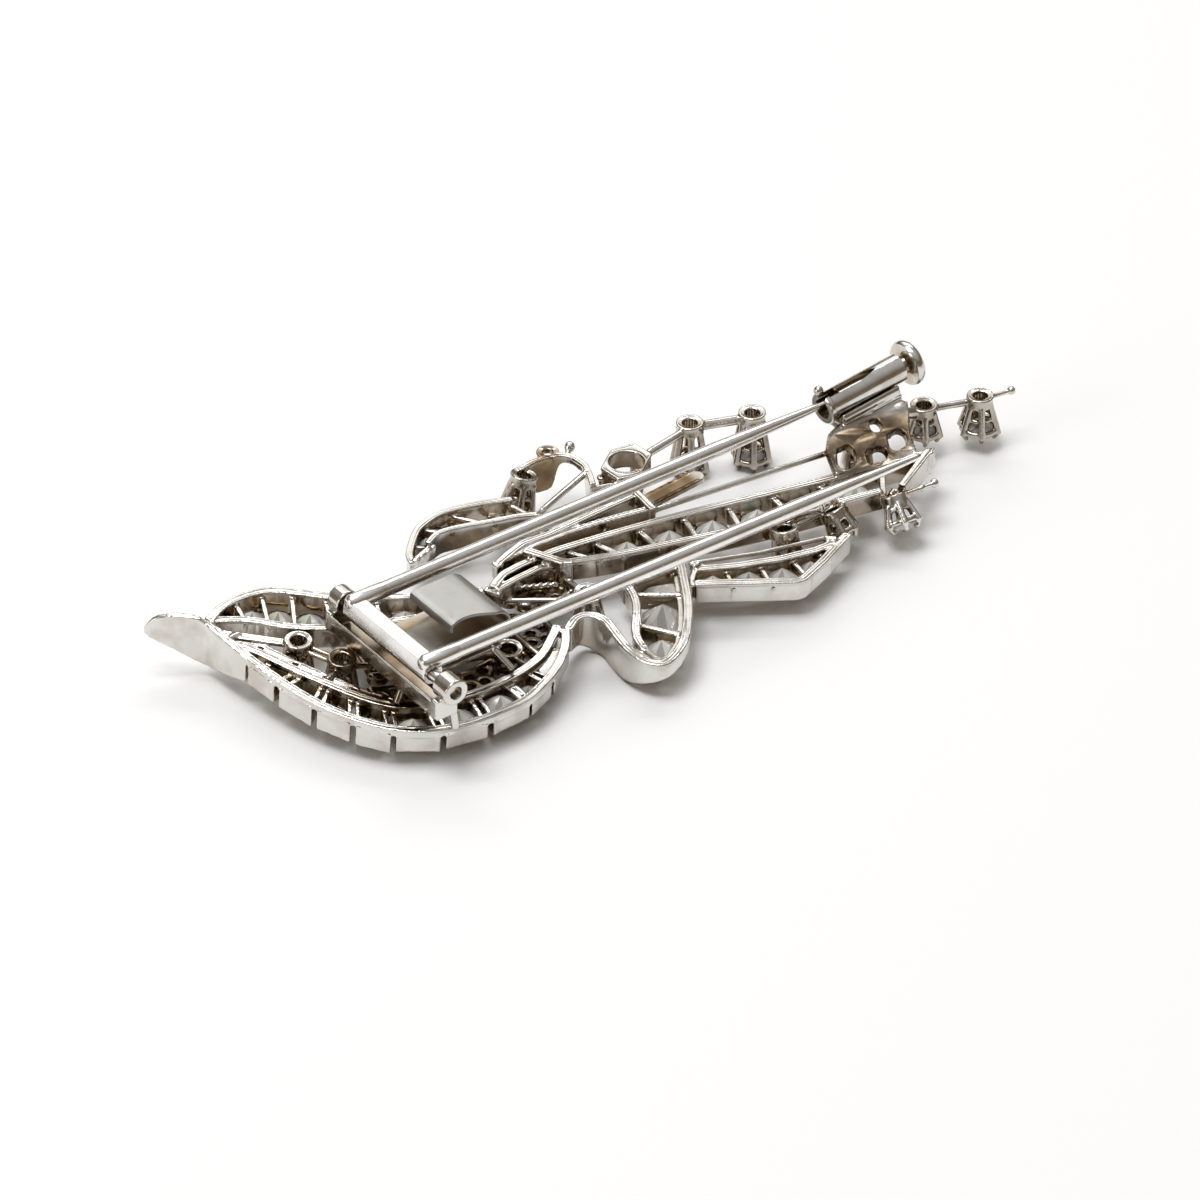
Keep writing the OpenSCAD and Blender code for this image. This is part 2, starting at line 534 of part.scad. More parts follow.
// Hinge base: front wall, floor under the spring, ears with knuckles and feet
module hinge_base() {
    front_x = axle_x - 1.45;
    floor_z = 4.95;
    floor_t = 0.3;
    far_end = far_knuckle_y + far_knuckle_len;
    near_end = near_knuckle_y - near_knuckle_len;
    color("silver") difference() {
        union() {
            translate([front_x, near_end + 0.6, floor_z]) cube([0.22, far_end - near_end - 1, 1.5]);
            translate([front_x, -6.4, floor_z]) cube([9.3, 6.9, floor_t]);
            ear(far_knuckle_y, far_knuckle_len, front_x, floor_z);
            ear(near_end, near_knuckle_len, front_x, floor_z);
            translate([front_x, 0.2, floor_z]) cube([1.9, far_end - 0.4, floor_t]);
            translate([front_x, near_end + 0.5, floor_z]) cube([1.9, -6.2 - near_end - 0.5, floor_t]);
            for (foot = FEET) rod([foot[0], foot[1], floor_z + 0.2], [foot[2], foot[3], foot[4]], foot[5]);
        }
        translate([axle_x, near_end - 1, axle_z]) rotate([-90, 0, 0])
            cylinder(h = far_end - near_end + 2, r = axle_d / 2 + 0.01);
    }
}
// Knuckle with the narrow web that carries it
module ear(y, long, front_x, floor_z) {
    translate([axle_x, y, axle_z]) rotate([-90, 0, 0]) cylinder(h = long, d = knuckle_d);
    translate([front_x, y + long / 2 - 0.35, floor_z]) cube([1.9, 0.7, 1.7]);
}
// Columns: x, y at the base, x, y, z at the leaf, radius of the hinge's feet
FEET = [[-25, -10.6, -24.8, -10.65, 3.3, 0.35], [-26.2, -6, -27, -6.2, 3.8, 0.3],
        [-18.2, -6, -17.4, -7.7, 3.6, 0.3], [-26, 3.2, -26.2, 4, 4.75, 0.35]];

// Bent leaf spring behind the crossbar: upper leaf, bend, lower leaf
module leaf_spring() {
    sheet = 0.28;
    top_z = 8;
    low_z = 5.3;
    bend_r = (top_z - low_z) / 2;
    bend_x = -17.6;
    far_y = 0.1;
    color("lightgray") {
        raised(top_z - sheet, top_z) upper_leaf(bend_x + 0.1, far_y);
        raised(low_z, low_z + sheet) polygon([[-23.6, -5], [bend_x + 0.1, -6], [bend_x + 0.1, far_y],
            [-23.6, -1.4]]);
        translate([bend_x, far_y, low_z + bend_r]) rotate([90, 0, 0]) linear_extrude(far_y + 6) difference() {
            intersection() {
                circle(r = bend_r);
                translate([-0.05, -2 * bend_r]) square([2 * bend_r, 4 * bend_r]);
            }
            circle(r = bend_r - sheet);
        }
        raised(top_z - 0.75, top_z - sheet / 2) bar([-21.15, far_y - 0.1], [-21.15, -5.1], 0.22);
    }
}
module upper_leaf(end_x, far_y) {
    start_x = -21.3;
    polygon(concat([[start_x, far_y], [start_x, -5.3]], [for (k = [0 : 6]) [between(start_x, end_x, k / 6),
        -5.3 + 0.55 * sin(k * 30) - 0.12 * k]], [[end_x, far_y]]));
}

// Fixed catch tube, slit along the top from its mouth
module catch_tube() {
    color("gainsboro") on_tube() {
        difference() {
            union() {
                rotate([0, 90, 0]) cylinder(h = tube_len, d = tube_d);
                rotate([0, 90, 0]) cylinder(h = 0.5, d = tube_d + 0.3);
            }
            translate([-1, 0, 0]) rotate([0, 90, 0]) cylinder(h = tube_len + 2, r = tube_bore_r);
            translate([-1, -slot_w / 2, 0]) cube([slot_len + 1, slot_w, 3]);
        }
        translate([0.3, slot_w / 2 + 0.3, tube_d / 2 + 0.05]) sphere(r = 0.4);
    }
}

// Sliding barrel with its knob, drawn back just clear of the pin point
module catch_slider() {
    barrel_r = tube_bore_r - slide_play;
    color("whitesmoke") on_tube() rotate([0, 90, 0]) difference() {
        union() {
            translate([0, 0, barrel_back]) cylinder(h = tube_len + 0.8 - barrel_back, r = barrel_r);
            translate([0, 0, tube_len + 0.5]) rotate_extrude() polygon([[0, 0], [knob_d / 2 - 0.3, 0],
                [knob_d / 2, 0.25], [knob_d / 2, 0.6], [knob_d / 2 - 0.25, 0.9], [0.9, 1.15], [0, 1.2]]);
        }
        translate([0, 0, barrel_back - 1]) cylinder(h = 4, r = barrel_bore_r);
    }
}

// Both pin stems and the square crossbar, turning on the axle
module pin_stems() {
    bar_half = stem_pitch / 2 + stem_d / 2 - 0.1;
    color("gainsboro") translate([axle_x, mid_y, axle_z]) rotate([0, stem_fall, 0]) difference() {
        union() {
            translate([0, bar_half, 0]) rotate([90, 0, 0]) linear_extrude(2 * bar_half) {
                circle(r = crossbar_foot);
                translate([-crossbar_w / 2, -0.3]) square([crossbar_w, crossbar_top + 0.3]);
            }
            translate([0, stem_pitch / 2, stem_rise]) rotate([0, 0, far_turn]) stem(far_stem_len);
            translate([0, -stem_pitch / 2, stem_rise]) rotate([0, 0, near_turn]) stem(near_stem_len);
        }
        translate([0, bar_half + 1, 0]) rotate([90, 0, 0])
            cylinder(h = 2 * bar_half + 2, r = axle_d / 2 + axle_play);
    }
}
// Stem with a blunt root and a tapered point
module stem(long) {
    straight = long - point_len;
    root = 0.8;
    translate([-root, 0, 0]) rotate([0, 90, 0]) {
        cylinder(h = 0.25, r1 = stem_d / 2 - 0.2, r2 = stem_d / 2);
        translate([0, 0, 0.25]) cylinder(h = straight + root - 0.25, d = stem_d);
        translate([0, 0, 0.25]) cylinder(h = root + collar_len - 0.25, r1 = stem_d / 2 + 0.12,
            r2 = stem_d / 2 + 0.03);
        translate([0, 0, straight + root]) cylinder(h = point_len, r1 = stem_d / 2, r2 = point_r);
    }
}

// Axle of the pin hinge, held in both knuckles
module hinge_axle() {
    short = 0.45;
    near_end = near_knuckle_y - near_knuckle_len + short;
    color("darkgray") translate([axle_x, near_end, axle_z]) rotate([-90, 0, 0])
        cylinder(h = far_knuckle_y + far_knuckle_len - short - near_end, d = axle_d);
}

// Stones set in the channels
module leaf_near_stones() {
    color("white") leaf_plane() for (i = [0 : stone_boxes - 1]) let (m = box_mid(BOXES[i]))
        translate([m[0], m[1], 0.45 - BOXES[i][2]]) brilliant(box_stone_d(BOXES[i]));
}
// Largest round stone that fits the box, up to the chosen diameter
function box_stone_d(b) = let (c = box_corners(b), wide = norm(c[0] + c[1] - c[2] - c[3]) / 2,
    long = norm(c[1] + c[2] - c[0] - c[3]) / 2) min(leaf_stone_d, wide - 1.15, long - 1.15);
module leaf_far_stones() {
    color("white") leaf_plane() for (i = [0 : len(FAR_BARS) - 2])
        let (s = (FAR_BARS[i] + FAR_BARS[i + 1]) / 2, m = (at(FAR_RIM, s) + at(FAR_INNER, s)) / 2)
        translate([m[0], m[1], 0.7 - channel_h]) brilliant(1.6);
}
module vein_stones() {
    color("white") leaf_plane() for (v = VEIN) translate([v[0], v[1], v[2]]) seated_stone(v[3], v[4]);
}
module loop_stones() {
    color("white") {
        translate([-1.35, -5.25, 2.2]) rotate([0, 0, -22]) baguette(2.1, 1.4);
        translate([-3.4, -7.8, 2.2]) brilliant(2.2);
        translate([-5.9, -11, 2]) brilliant(1.9);
    }
}
module lower_stones() {
    color("white") for (s = LOWER_STONES) translate([s[0], s[1], 2.1]) brilliant(s[2]);
}
module stem_stones() {
    color("white") for (i = [0 : len(CENTRAL_BARS) - 2])
        let (s = (CENTRAL_BARS[i] + CENTRAL_BARS[i + 1]) / 2, a = at(CENTRAL_FAR, s), b = at(CENTRAL_NEAR, s),
            m = (a + b) / 2, room = min(off_divider(m, CENTRAL_BARS[i]), off_divider(m, CENTRAL_BARS[i + 1])))
        translate([m[0], m[1], 3.1]) brilliant(min(norm(a - b) - 2 * rail_w - 0.45, 2 * room - 0.5, 1.9));
}
// Distance from a point to the baton's divider at a share of its rails
function off_divider(m, share) = let (a = at(CENTRAL_FAR, share), d = unit(at(CENTRAL_NEAR, share) - a))
    abs(d[0] * (m[1] - a[1]) - d[1] * (m[0] - a[0]));
module far_loop_stones() {
    color("white") for (s = [0.2, 0.485, 0.8])
        let (m = (at(FAR_CURL_RIM, 0.22 + s * 0.76) + at(FAR_CURL_INNER, s)) / 2)
        translate([m[0], m[1], 2.9]) brilliant(1.05);
}
module spray_stone(i) {
    color("white") {
        if (i < len(COLLETS)) at_collet(COLLETS[i]) seated_stone(COLLETS[i][3], COLLETS[i][4]);
        else translate([HEX_MID[0], HEX_MID[1], 2.6]) brilliant(2.4);
    }
}

module placed() {
    translate([centre_x, centre_y, 0]) children();
}

placed() leaf_setting();
placed() near_loop();
placed() stem_setting();
placed() far_loop();
placed() hinge_base();
placed() hinge_axle();
placed() leaf_spring();
placed() catch_tube();
placed() catch_slider();
placed() pin_stems();
placed() leaf_near_stones();
placed() leaf_far_stones();
placed() vein_stones();
placed() loop_stones();
placed() lower_stones();
placed() stem_stones();
placed() far_loop_stones();
for (i = [1 : 11]) placed() spray_stone(i - 1);
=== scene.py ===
"""Studio scene of a spray brooch lying face down, with its two pin stems on top."""

import logging
import math
from dataclasses import dataclass, field
from enum import Enum
from functools import reduce
from typing import Iterable, Sequence

import bmesh
import bpy
from mathutils import Matrix, Vector, geometry


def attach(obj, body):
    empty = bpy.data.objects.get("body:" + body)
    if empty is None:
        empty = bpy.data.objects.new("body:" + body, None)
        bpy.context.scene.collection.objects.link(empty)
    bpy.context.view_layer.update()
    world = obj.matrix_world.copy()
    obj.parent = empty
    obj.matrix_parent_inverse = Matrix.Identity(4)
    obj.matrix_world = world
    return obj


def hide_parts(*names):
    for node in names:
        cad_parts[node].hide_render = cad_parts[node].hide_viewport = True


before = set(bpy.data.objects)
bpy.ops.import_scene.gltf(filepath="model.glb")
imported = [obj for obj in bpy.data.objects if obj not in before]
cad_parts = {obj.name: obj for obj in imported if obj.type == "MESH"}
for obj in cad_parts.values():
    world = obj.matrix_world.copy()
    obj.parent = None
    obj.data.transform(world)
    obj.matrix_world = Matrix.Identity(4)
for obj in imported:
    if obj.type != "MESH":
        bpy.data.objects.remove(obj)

log = logging.getLogger("brooch")
MM = 0.001
# Steps of a full turn on the lathe
TURN_STEPS = 48
# Sides and length of the tool that cuts a round hole of unit radius
DRILL_SIDES = 32
DRILL_LONG = 3
# Vertices of a CAD node that lie closer than this are one
MERGE = 0.002 * MM
# Points of a new mesh that lie closer than this are one
TINY = 1e-6
# Edges sharper than this keep their edge in smooth pieces
SHARP = math.radians(35)
# Faces of a CAD node that meet at less than this are one flat face, in the metal and in the stones
FLAT_METAL = math.radians(0.5)
FLAT_STONE = math.radians(1)
# Sides of the finest wires, which the fusing makes round
WIRE_SIDES = 6
# Share of its reach over which a painted shade spot or patch keeps its full strength
CORE = 0.55
# Values that a noise texture rarely leaves
NOISE_SPAN = (0.25, 0.75)


class Slot(Enum):
    """Material slots of the record."""

    METAL = "white_gold"
    WIRE = "pin_wire"
    STONE = "diamond"


class Body(Enum):
    """Moving bodies of the brooch."""

    BROOCH = "brooch"
    PINS = "pins"
    SLIDER = "slider"


# How much the sheets inside the frame fall for each millimetre away from the near side, and the
# direction of that fall in x and y
WEB_FALL = 0.14
AWAY = (0.6, 0.8)
# Rows: x and y along the inner ledges of the near loop and of the lower baton
LOOP_LEDGE = (
    (-7.35, -10.25), (-7.1, -12), (-6.6, -12.6), (-5.8, -12.4), (-4.25, -11.45), (-2.65, -9.75),
    (-1.2, -7.8), (-0.1, -6.05), (1.2, -3.9),
)
LOWER_LEDGE = (
    (1.6, -6.1), (5.05, -8.45), (7.8, -10.3), (8.35, -10.4), (10.85, -9.5), (13.9, -8.2),
)
# Rows: x and y of the corners of the thin sheet under the place where the stems part
STEM_WEB = ((-12.1, 1.2), (-8.2, -1.6), (-6.2, -1), (-6.3, 2.6), (-9.8, 3.2))
# Rows: x, distance up the sheet, half length and half width of the openings under the catch
STAND_OPENINGS = (
    (18.9, 0.85, 1.3, 0.65), (21.4, -0.1, 0.8, 0.6), (23.75, 0.5, 1.05, 0.66),
    (22.9, 2.5, 0.75, 0.5),
)
# Rows: height in the leaf's plane, then the corners of a thin sheet inside the leaf
LEAF_WEBS = (
    (-1.2, ((-27.2, -5.2), (-24.4, -6.7), (-21, -7.4), (-16.4, -7.2), (-14.4, -6.6), (-13.2, -4.8),
            (-15, -3.4), (-19, -4.2), (-22.8, -3.7), (-26.6, -2))),
    (-1.2, ((-25.8, -1.2), (-22.6, -2.4), (-18, -2.2), (-14.6, -2.9), (-14.2, -1), (-17.6, 0.1),
            (-21.6, 1.5), (-24.6, 2.9))),
    (-1.5, ((-13.6, -5.9), (-12.4, -5.4), (-10.6, -3.6), (-10.2, -1.4), (-12.2, -0.6),
            (-13.4, -1.6))),
)
# Rows: x, y, z and reach in millimetres of the places painted with dark shade. The first one is
# under the crossbar
DEPTHS = (
    (-21.5, -3, 5, 4.6),
    (-25.5, -3.4, 0.7, 3.0),
    (-22.4, -5.0, 0.6, 3.0),
    (-18.8, -5.2, 0.6, 3.0),
    (-15.4, -4.6, 0.7, 3.0),
    (-20.0, -0.6, 0.8, 3.0),
    (-9.4, 1.4, 1.6, 2.6),
    (6.6, 4.0, 4.2, 3.4),
    (0.4, 12.4, 3.0, 2.8),
)
# Rows: x, y, z, reach in millimetres and share of the brown painted shade on walls that face the
# near side
WALL_SHADE = (
    # inner wall of the far loop
    (-12.4, 8.9, 2.5, 1.9, 0.9), (-10.6, 9.2, 2.5, 1.9, 0.9), (-8.8, 8.7, 2.5, 1.9, 0.9),
    (-6.9, 8.0, 2.5, 1.9, 0.85), (-4.9, 7.3, 2.5, 1.9, 0.85),
    # collets, arched band and six-sided frame of the sprays
    (-2.0, 11.3, 2.6, 3.2, 0.55), (12.4, 9.0, 2.4, 3.3, 0.6), (17.2, 7.2, 2.4, 3.3, 0.6),
    (29.2, 0.5, 2.6, 3.1, 0.6), (33.5, -1.2, 2.6, 3.2, 0.45), (19.6, -6.6, 2.2, 2.6, 0.5),
    (0.5, 12.2, 3.0, 3.2, 0.55), (5.3, 7.8, 2.6, 3.6, 0.55),
    # front wall of the hinge, and the vein wires before it
    (-26.2, -6, 4.4, 2.6, 0.8), (-26.4, -3, 4.4, 2.8, 0.8), (-26.4, 0.4, 4.4, 2.6, 0.8),
    (-25.2, -0.4, 2.9, 2.6, 0.65), (-21, -1.6, 2.9, 3.0, 0.65), (-28, 2.8, 2.9, 2.4, 0.5),
)
# Rows: middle, direction in degrees, half length, half width and half height of a long patch of the
# brown painted shade, share. The last one is the sheet under the catch
WALLS = (
    ((1.8, -2.5, 2.9), -17.3, (10.5, 1.35, 1.6), 0.8),
    ((15.0, -5.9, 2.9), -11.7, (9.0, 1.35, 1.6), 0.7),
    ((-3.5, 2.7, 2.9), -5.0, (10.5, 1.3, 1.6), 0.6),
    ((22.0, -1.7, 4.7), 0.0, (7.0, 3.2, 3.4), 0.95),
)
# Rows: x, y, z, reach and share of the near-black painted shade, under the catch and in deep places
BLACK_SHADE = (
    (20.2, -1.9, 4.5, 2.9, 0.35), (23.4, -1.6, 4.6, 2.9, 0.35), (-11.6, -2.8, 1.6, 3.0, 0.9),
    (-16.9, -3.3, 0.9, 3.2, 0.9), (-15.2, -4.4, 1.2, 2.6, 0.9), (-9.4, 1.4, 1.8, 2.6, 0.8),
    (-20.4, 0.6, 1.4, 2.8, 0.7), (-12.2, 9.0, 2.3, 2.2, 0.75), (-10.2, 9.1, 2.3, 2.2, 0.65),
    (-8.0, 8.4, 2.3, 2.0, 0.5), (-6.0, 7.7, 2.3, 2.0, 0.4),
)
# How much wider than its seat a stone is, in a collet and in each channel
SNUG = 1.05
GROWTH = {
    "leaf_near_stones": 1.6,
    "leaf_far_stones": 1.5,
    "lower_stones": 1.6,
    "stem_stones": 1.45,
    "loop_stones": 1.5,
    "far_loop_stones": 1.5,
}


class Graph:
    """Small helper that adds and links shader nodes of one material."""

    def __init__(self, name: str) -> None:
        """Starts an empty node material.

        Args:
            name: Name of the material.
        """
        self.material = bpy.data.materials.new(name)
        self.material.use_nodes = True
        self.tree = self.material.node_tree
        self.tree.nodes.clear()

    def add(self, kind: str, **settings: object) -> bpy.types.Node:
        """Adds a node.

        Args:
            kind: Blender's node type.
            settings: Properties of the node to set.

        Returns:
            The new node.
        """
        node = self.tree.nodes.new(kind)
        for key, value in settings.items():
            setattr(node, key, value)
        return node

    def link(self, source: bpy.types.NodeSocket, target: bpy.types.NodeSocket) -> None:
        """Links two sockets."""
        self.tree.links.new(source, target)

    def noise(self, scale: Sequence[float], detail: float = 3.0) -> bpy.types.NodeSocket:
        """Noise on object coordinates.

        Args:
            scale: Features per metre along each axis.
            detail: Number of finer layers.

        Returns:
            The noise value.
        """
        where = self.add("ShaderNodeTexCoord")
        mapping = self.add("ShaderNodeMapping")
        mapping.inputs["Scale"].default_value = tuple(scale)
        texture = self.add("ShaderNodeTexNoise")
        texture.inputs["Scale"].default_value = 1.0
        texture.inputs["Detail"].default_value = detail
        self.link(where.outputs["Object"], mapping.inputs["Vector"])
        self.link(mapping.outputs["Vector"], texture.inputs["Vector"])
        return texture.outputs["Fac"]

    def near(self, place: Sequence[float], reach: float, most: float = 1.0) -> bpy.types.NodeSocket:
        """Share that is largest near a place and falls to 0 at a distance.

        Args:
            place: The place, in millimetres.
            reach: Distance at which the share is 0, in millimetres.
            most: The share at the place.

        Returns:
            The share.
        """
        where = self.add("ShaderNodeTexCoord")
        gap = self.add("ShaderNodeVectorMath", operation="DISTANCE")
        gap.inputs[1].default_value = [value * MM for value in place]
        self.link(where.outputs["Object"], gap.inputs[0])
        band = (reach * CORE * MM, reach * MM)
        return self.span(gap.outputs["Value"], band, (most, 0.0), "SMOOTHSTEP")

    def along(
        self, place: Sequence[float], turn: float, reach: Sequence[float], most: float
    ) -> bpy.types.NodeSocket:
        """Share that is largest in a long patch and falls to 0 at its edge.

        Args:
            place: Middle of the patch, in millimetres.
            turn: Direction of its length, in degrees.
            reach: Half its length, width and height, in millimetres.
            most: The share in the middle.

        Returns:
            The share.
        """
        where = self.add("ShaderNodeTexCoord")
        mapping = self.add("ShaderNodeMapping", vector_type="TEXTURE")
        mapping.inputs["Location"].default_value = [value * MM for value in place]
        mapping.inputs["Rotation"].default_value = (0, 0, math.radians(turn))
        mapping.inputs["Scale"].default_value = [value * MM for value in reach]
        self.link(where.outputs["Object"], mapping.inputs["Vector"])
        size = self.add("ShaderNodeVectorMath", operation="LENGTH")
        self.link(mapping.outputs["Vector"], size.inputs[0])
        return self.span(size.outputs["Value"], (CORE, 1.0), (most, 0.0), "SMOOTHSTEP")

    def larger(
        self, first: bpy.types.NodeSocket, second: bpy.types.NodeSocket
    ) -> bpy.types.NodeSocket:
        """The larger of two values.

        Args:
            first: One value.
            second: The other value.

        Returns:
            The larger one.
        """
        node = self.add("ShaderNodeMath", operation="MAXIMUM")
        self.link(first, node.inputs[0])
        self.link(second, node.inputs[1])
        return node.outputs["Value"]

    def ramp(
        self, value: bpy.types.NodeSocket, stops: Sequence[tuple[float, Sequence[float]]]
    ) -> bpy.types.NodeSocket:
        """Colour ramp.

        Args:
            value: Socket that drives the ramp.
            stops: Position and colour of each stop.

        Returns:
            The colour.
        """
        node = self.add("ShaderNodeValToRGB")
        elements = node.color_ramp.elements
        while len(elements) < len(stops):
            elements.new(0.5)
        for element, (position, colour) in zip(elements, stops):
            element.position = position
            element.color = (*colour, 1.0)
        self.link(value, node.inputs["Fac"])
        return node.outputs["Color"]

    def mix(
        self,
        share: bpy.types.NodeSocket | None,
        first: bpy.types.NodeSocket,
        second: bpy.types.NodeSocket,
        blend: str = "MIX",
    ) -> bpy.types.NodeSocket:
        """Mixes two colours.

        Args:
            share: Share of the second colour, or nothing for all of it.
            first: First colour.
            second: Second colour.
            blend: Blend mode.

        Returns:
            The mixed colour.
        """
        node = self.add("ShaderNodeMix", data_type="RGBA", blend_type=blend)
        if share is None:
            node.inputs["Factor"].default_value = 1.0
        else:
            self.link(share, node.inputs["Factor"])
        self.link(first, node.inputs["A"])
        self.link(second, node.inputs["B"])
        return node.outputs["Result"]

    def span(
        self,
        value: bpy.types.NodeSocket,
        band: tuple[float, float],
        result: tuple[float, float],
        curve: str = "LINEAR",
    ) -> bpy.types.NodeSocket:
        """Stretches a band of a value over a range.

        Args:
            value: Socket with the value.
            band: Lower and upper end of the band.
            result: Result at its lower and at its upper end.
            curve: How the result runs between them.

        Returns:
            The stretched value.
        """
        node = self.add("ShaderNodeMapRange", interpolation_type=curve)
        node.inputs["From Min"].default_value, node.inputs["From Max"].default_value = band
        node.inputs["To Min"].default_value, node.inputs["To Max"].default_value = result
        self.link(value, node.inputs["Value"])
        return node.outputs["Result"]


@dataclass(frozen=True)
class PolishedGold:
    """Polished white gold, with painted warm reflection in sheltered places and painted shade in
    deep ones.

    Distances are in metres, scales in features a metre, and the tables hold millimetres.
    """

    name: str = "polished_white_gold"
    bright: tuple[float, float, float] = (0.74, 0.725, 0.69)
    dull: tuple[float, float, float] = (0.62, 0.585, 0.53)
    # Colours of the painted shade: dark in hollows, tan and brown for warm reflection in sheltered
    # places, and near black in the deepest places
    hollow: tuple[float, float, float] = (0.15, 0.098, 0.052)
    tan: tuple[float, float, float] = (0.46, 0.36, 0.235)
    brown: tuple[float, float, float] = (0.36, 0.27, 0.17)
    darkest_shade: tuple[float, float, float] = (0.022, 0.016, 0.011)
    rough: tuple[float, float] = (0.10, 0.26)
    rough_scale: float = 1400.0
    streaks: tuple[float, float, float] = (900.0, 900.0, 900.0)
    bump: float = 0.12
    bump_high: float = 0.03 * MM
    reach: float = 1.7 * MM
    wide: float = 4.5 * MM
    rays: int = 6
    haze_scale: float = 420.0
    wide_scale: float = 180.0
    deep_scale: float = 260.0
    shade_patch_scale: float = 300.0
    # Places that get painted shade: dark spots, brown spots on walls that face the near side,
    # near-black spots, and long brown patches on walls
    shaded_depths: tuple[tuple[float, float, float, float], ...] = ()
    wall_shade: tuple[tuple[float, float, float, float, float], ...] = ()
    black_shade: tuple[tuple[float, float, float, float, float], ...] = ()
    walls: tuple[tuple[Sequence[float], float, Sequence[float], float], ...] = ()

    def build(self) -> bpy.types.Material:
        """Builds the material.

        Returns:
            The finished material.
        """
        g = Graph(self.name)
        out = g.add("ShaderNodeOutputMaterial")
        shader = g.add("ShaderNodeBsdfPrincipled")
        shader.inputs["Metallic"].default_value = 1.0
        haze = g.noise((self.haze_scale,) * 3, 4.0)
        shade = self.painted_shelter_shade(g, g.ramp(haze, [(0.36, self.dull), (0.52, self.bright)]))
        shade = self.painted_shade_patches(g, shade)
        g.link(shade, shader.inputs["Base Color"])
        wear = g.span(g.noise((self.rough_scale,) * 3, 4.0), NOISE_SPAN, self.rough)
        g.link(wear, shader.inputs["Roughness"])
        bump = g.add("ShaderNodeBump")
        bump.inputs["Strength"].default_value = self.bump
        bump.inputs["Distance"].default_value = self.bump_high
        g.link(g.noise(self.streaks, 5.0), bump.inputs["Height"])
        g.link(bump.outputs["Normal"], shader.inputs["Normal"])
        g.link(shader.outputs["BSDF"], out.inputs["Surface"])
        return g.material

    def painted_shelter_shade(self, g: Graph, shade: bpy.types.NodeSocket) -> bpy.types.NodeSocket:
        """Paints warm reflection into sheltered places and dark shade into the deep ones, by how
        open they are.

        Args:
            g: The material's nodes.
            shade: Colour of the clean metal.

        Returns:
            The colour with its painted shade and reflection.
        """
        # Painted warm reflection: places with little open space within the wide reach take a brown
        # to tan tone
        sheltered = g.ramp(self.open_share(g, self.wide), [(0.22, (0.92,) * 3), (0.6, (0, 0, 0))])
        tone = g.ramp(g.noise((self.wide_scale,) * 3), [(0.35, self.brown), (0.65, self.tan)])
        shade = g.mix(sheltered, shade, tone)
        # Painted shade: places walled in within the short reach, and the listed depths, go dark
        # brown to tan
        deep = g.ramp(self.open_share(g, self.reach), [(0.26, (1, 1, 1)), (0.74, (0, 0, 0))])
        for *place, reach in self.shaded_depths:
            deep = g.larger(deep, g.near(place, reach))
        warm = g.ramp(g.noise((self.deep_scale,) * 3, 2.0), [(0.44, self.hollow), (0.72, self.tan)])
        return g.mix(deep, shade, warm)

    def open_share(self, g: Graph, distance: float) -> bpy.types.NodeSocket:
        """How open the surroundings are within a distance.

        Args:
            g: The material's nodes.
            distance: The distance.

        Returns:
            1 in the open, 0 where all is walled in.
        """
        node = g.add("ShaderNodeAmbientOcclusion", samples=self.rays)
        node.inputs["Distance"].default_value = distance
        return node.outputs["AO"]

    def painted_shade_patches(self, g: Graph, shade: bpy.types.NodeSocket) -> bpy.types.NodeSocket:
        """Lays painted shade over the metal: brown on walls that face the near side, near black in
        deep places.

        Args:
            g: The material's nodes.
            shade: Colour of the metal below.

        Returns:
            The colour with its painted shade.
        """
        # Each layer is painted shade: its spots and patches mix a noisy dark tone over the metal
        layers = (
            (self.wall_shade, self.walls, self.hollow, self.brown),
            (self.black_shade, (), self.darkest_shade, self.hollow),
        )
        for rows, walls, dark, light in layers:
            if rows:
                spots = [g.near(place, reach, most) for *place, reach, most in rows]
                spots += [g.along(*wall) for wall in walls]
                tone = g.ramp(g.noise((self.shade_patch_scale,) * 3), [(0.4, dark), (0.7, light)])
                shade = g.mix(reduce(g.larger, spots), shade, tone)
        return shade


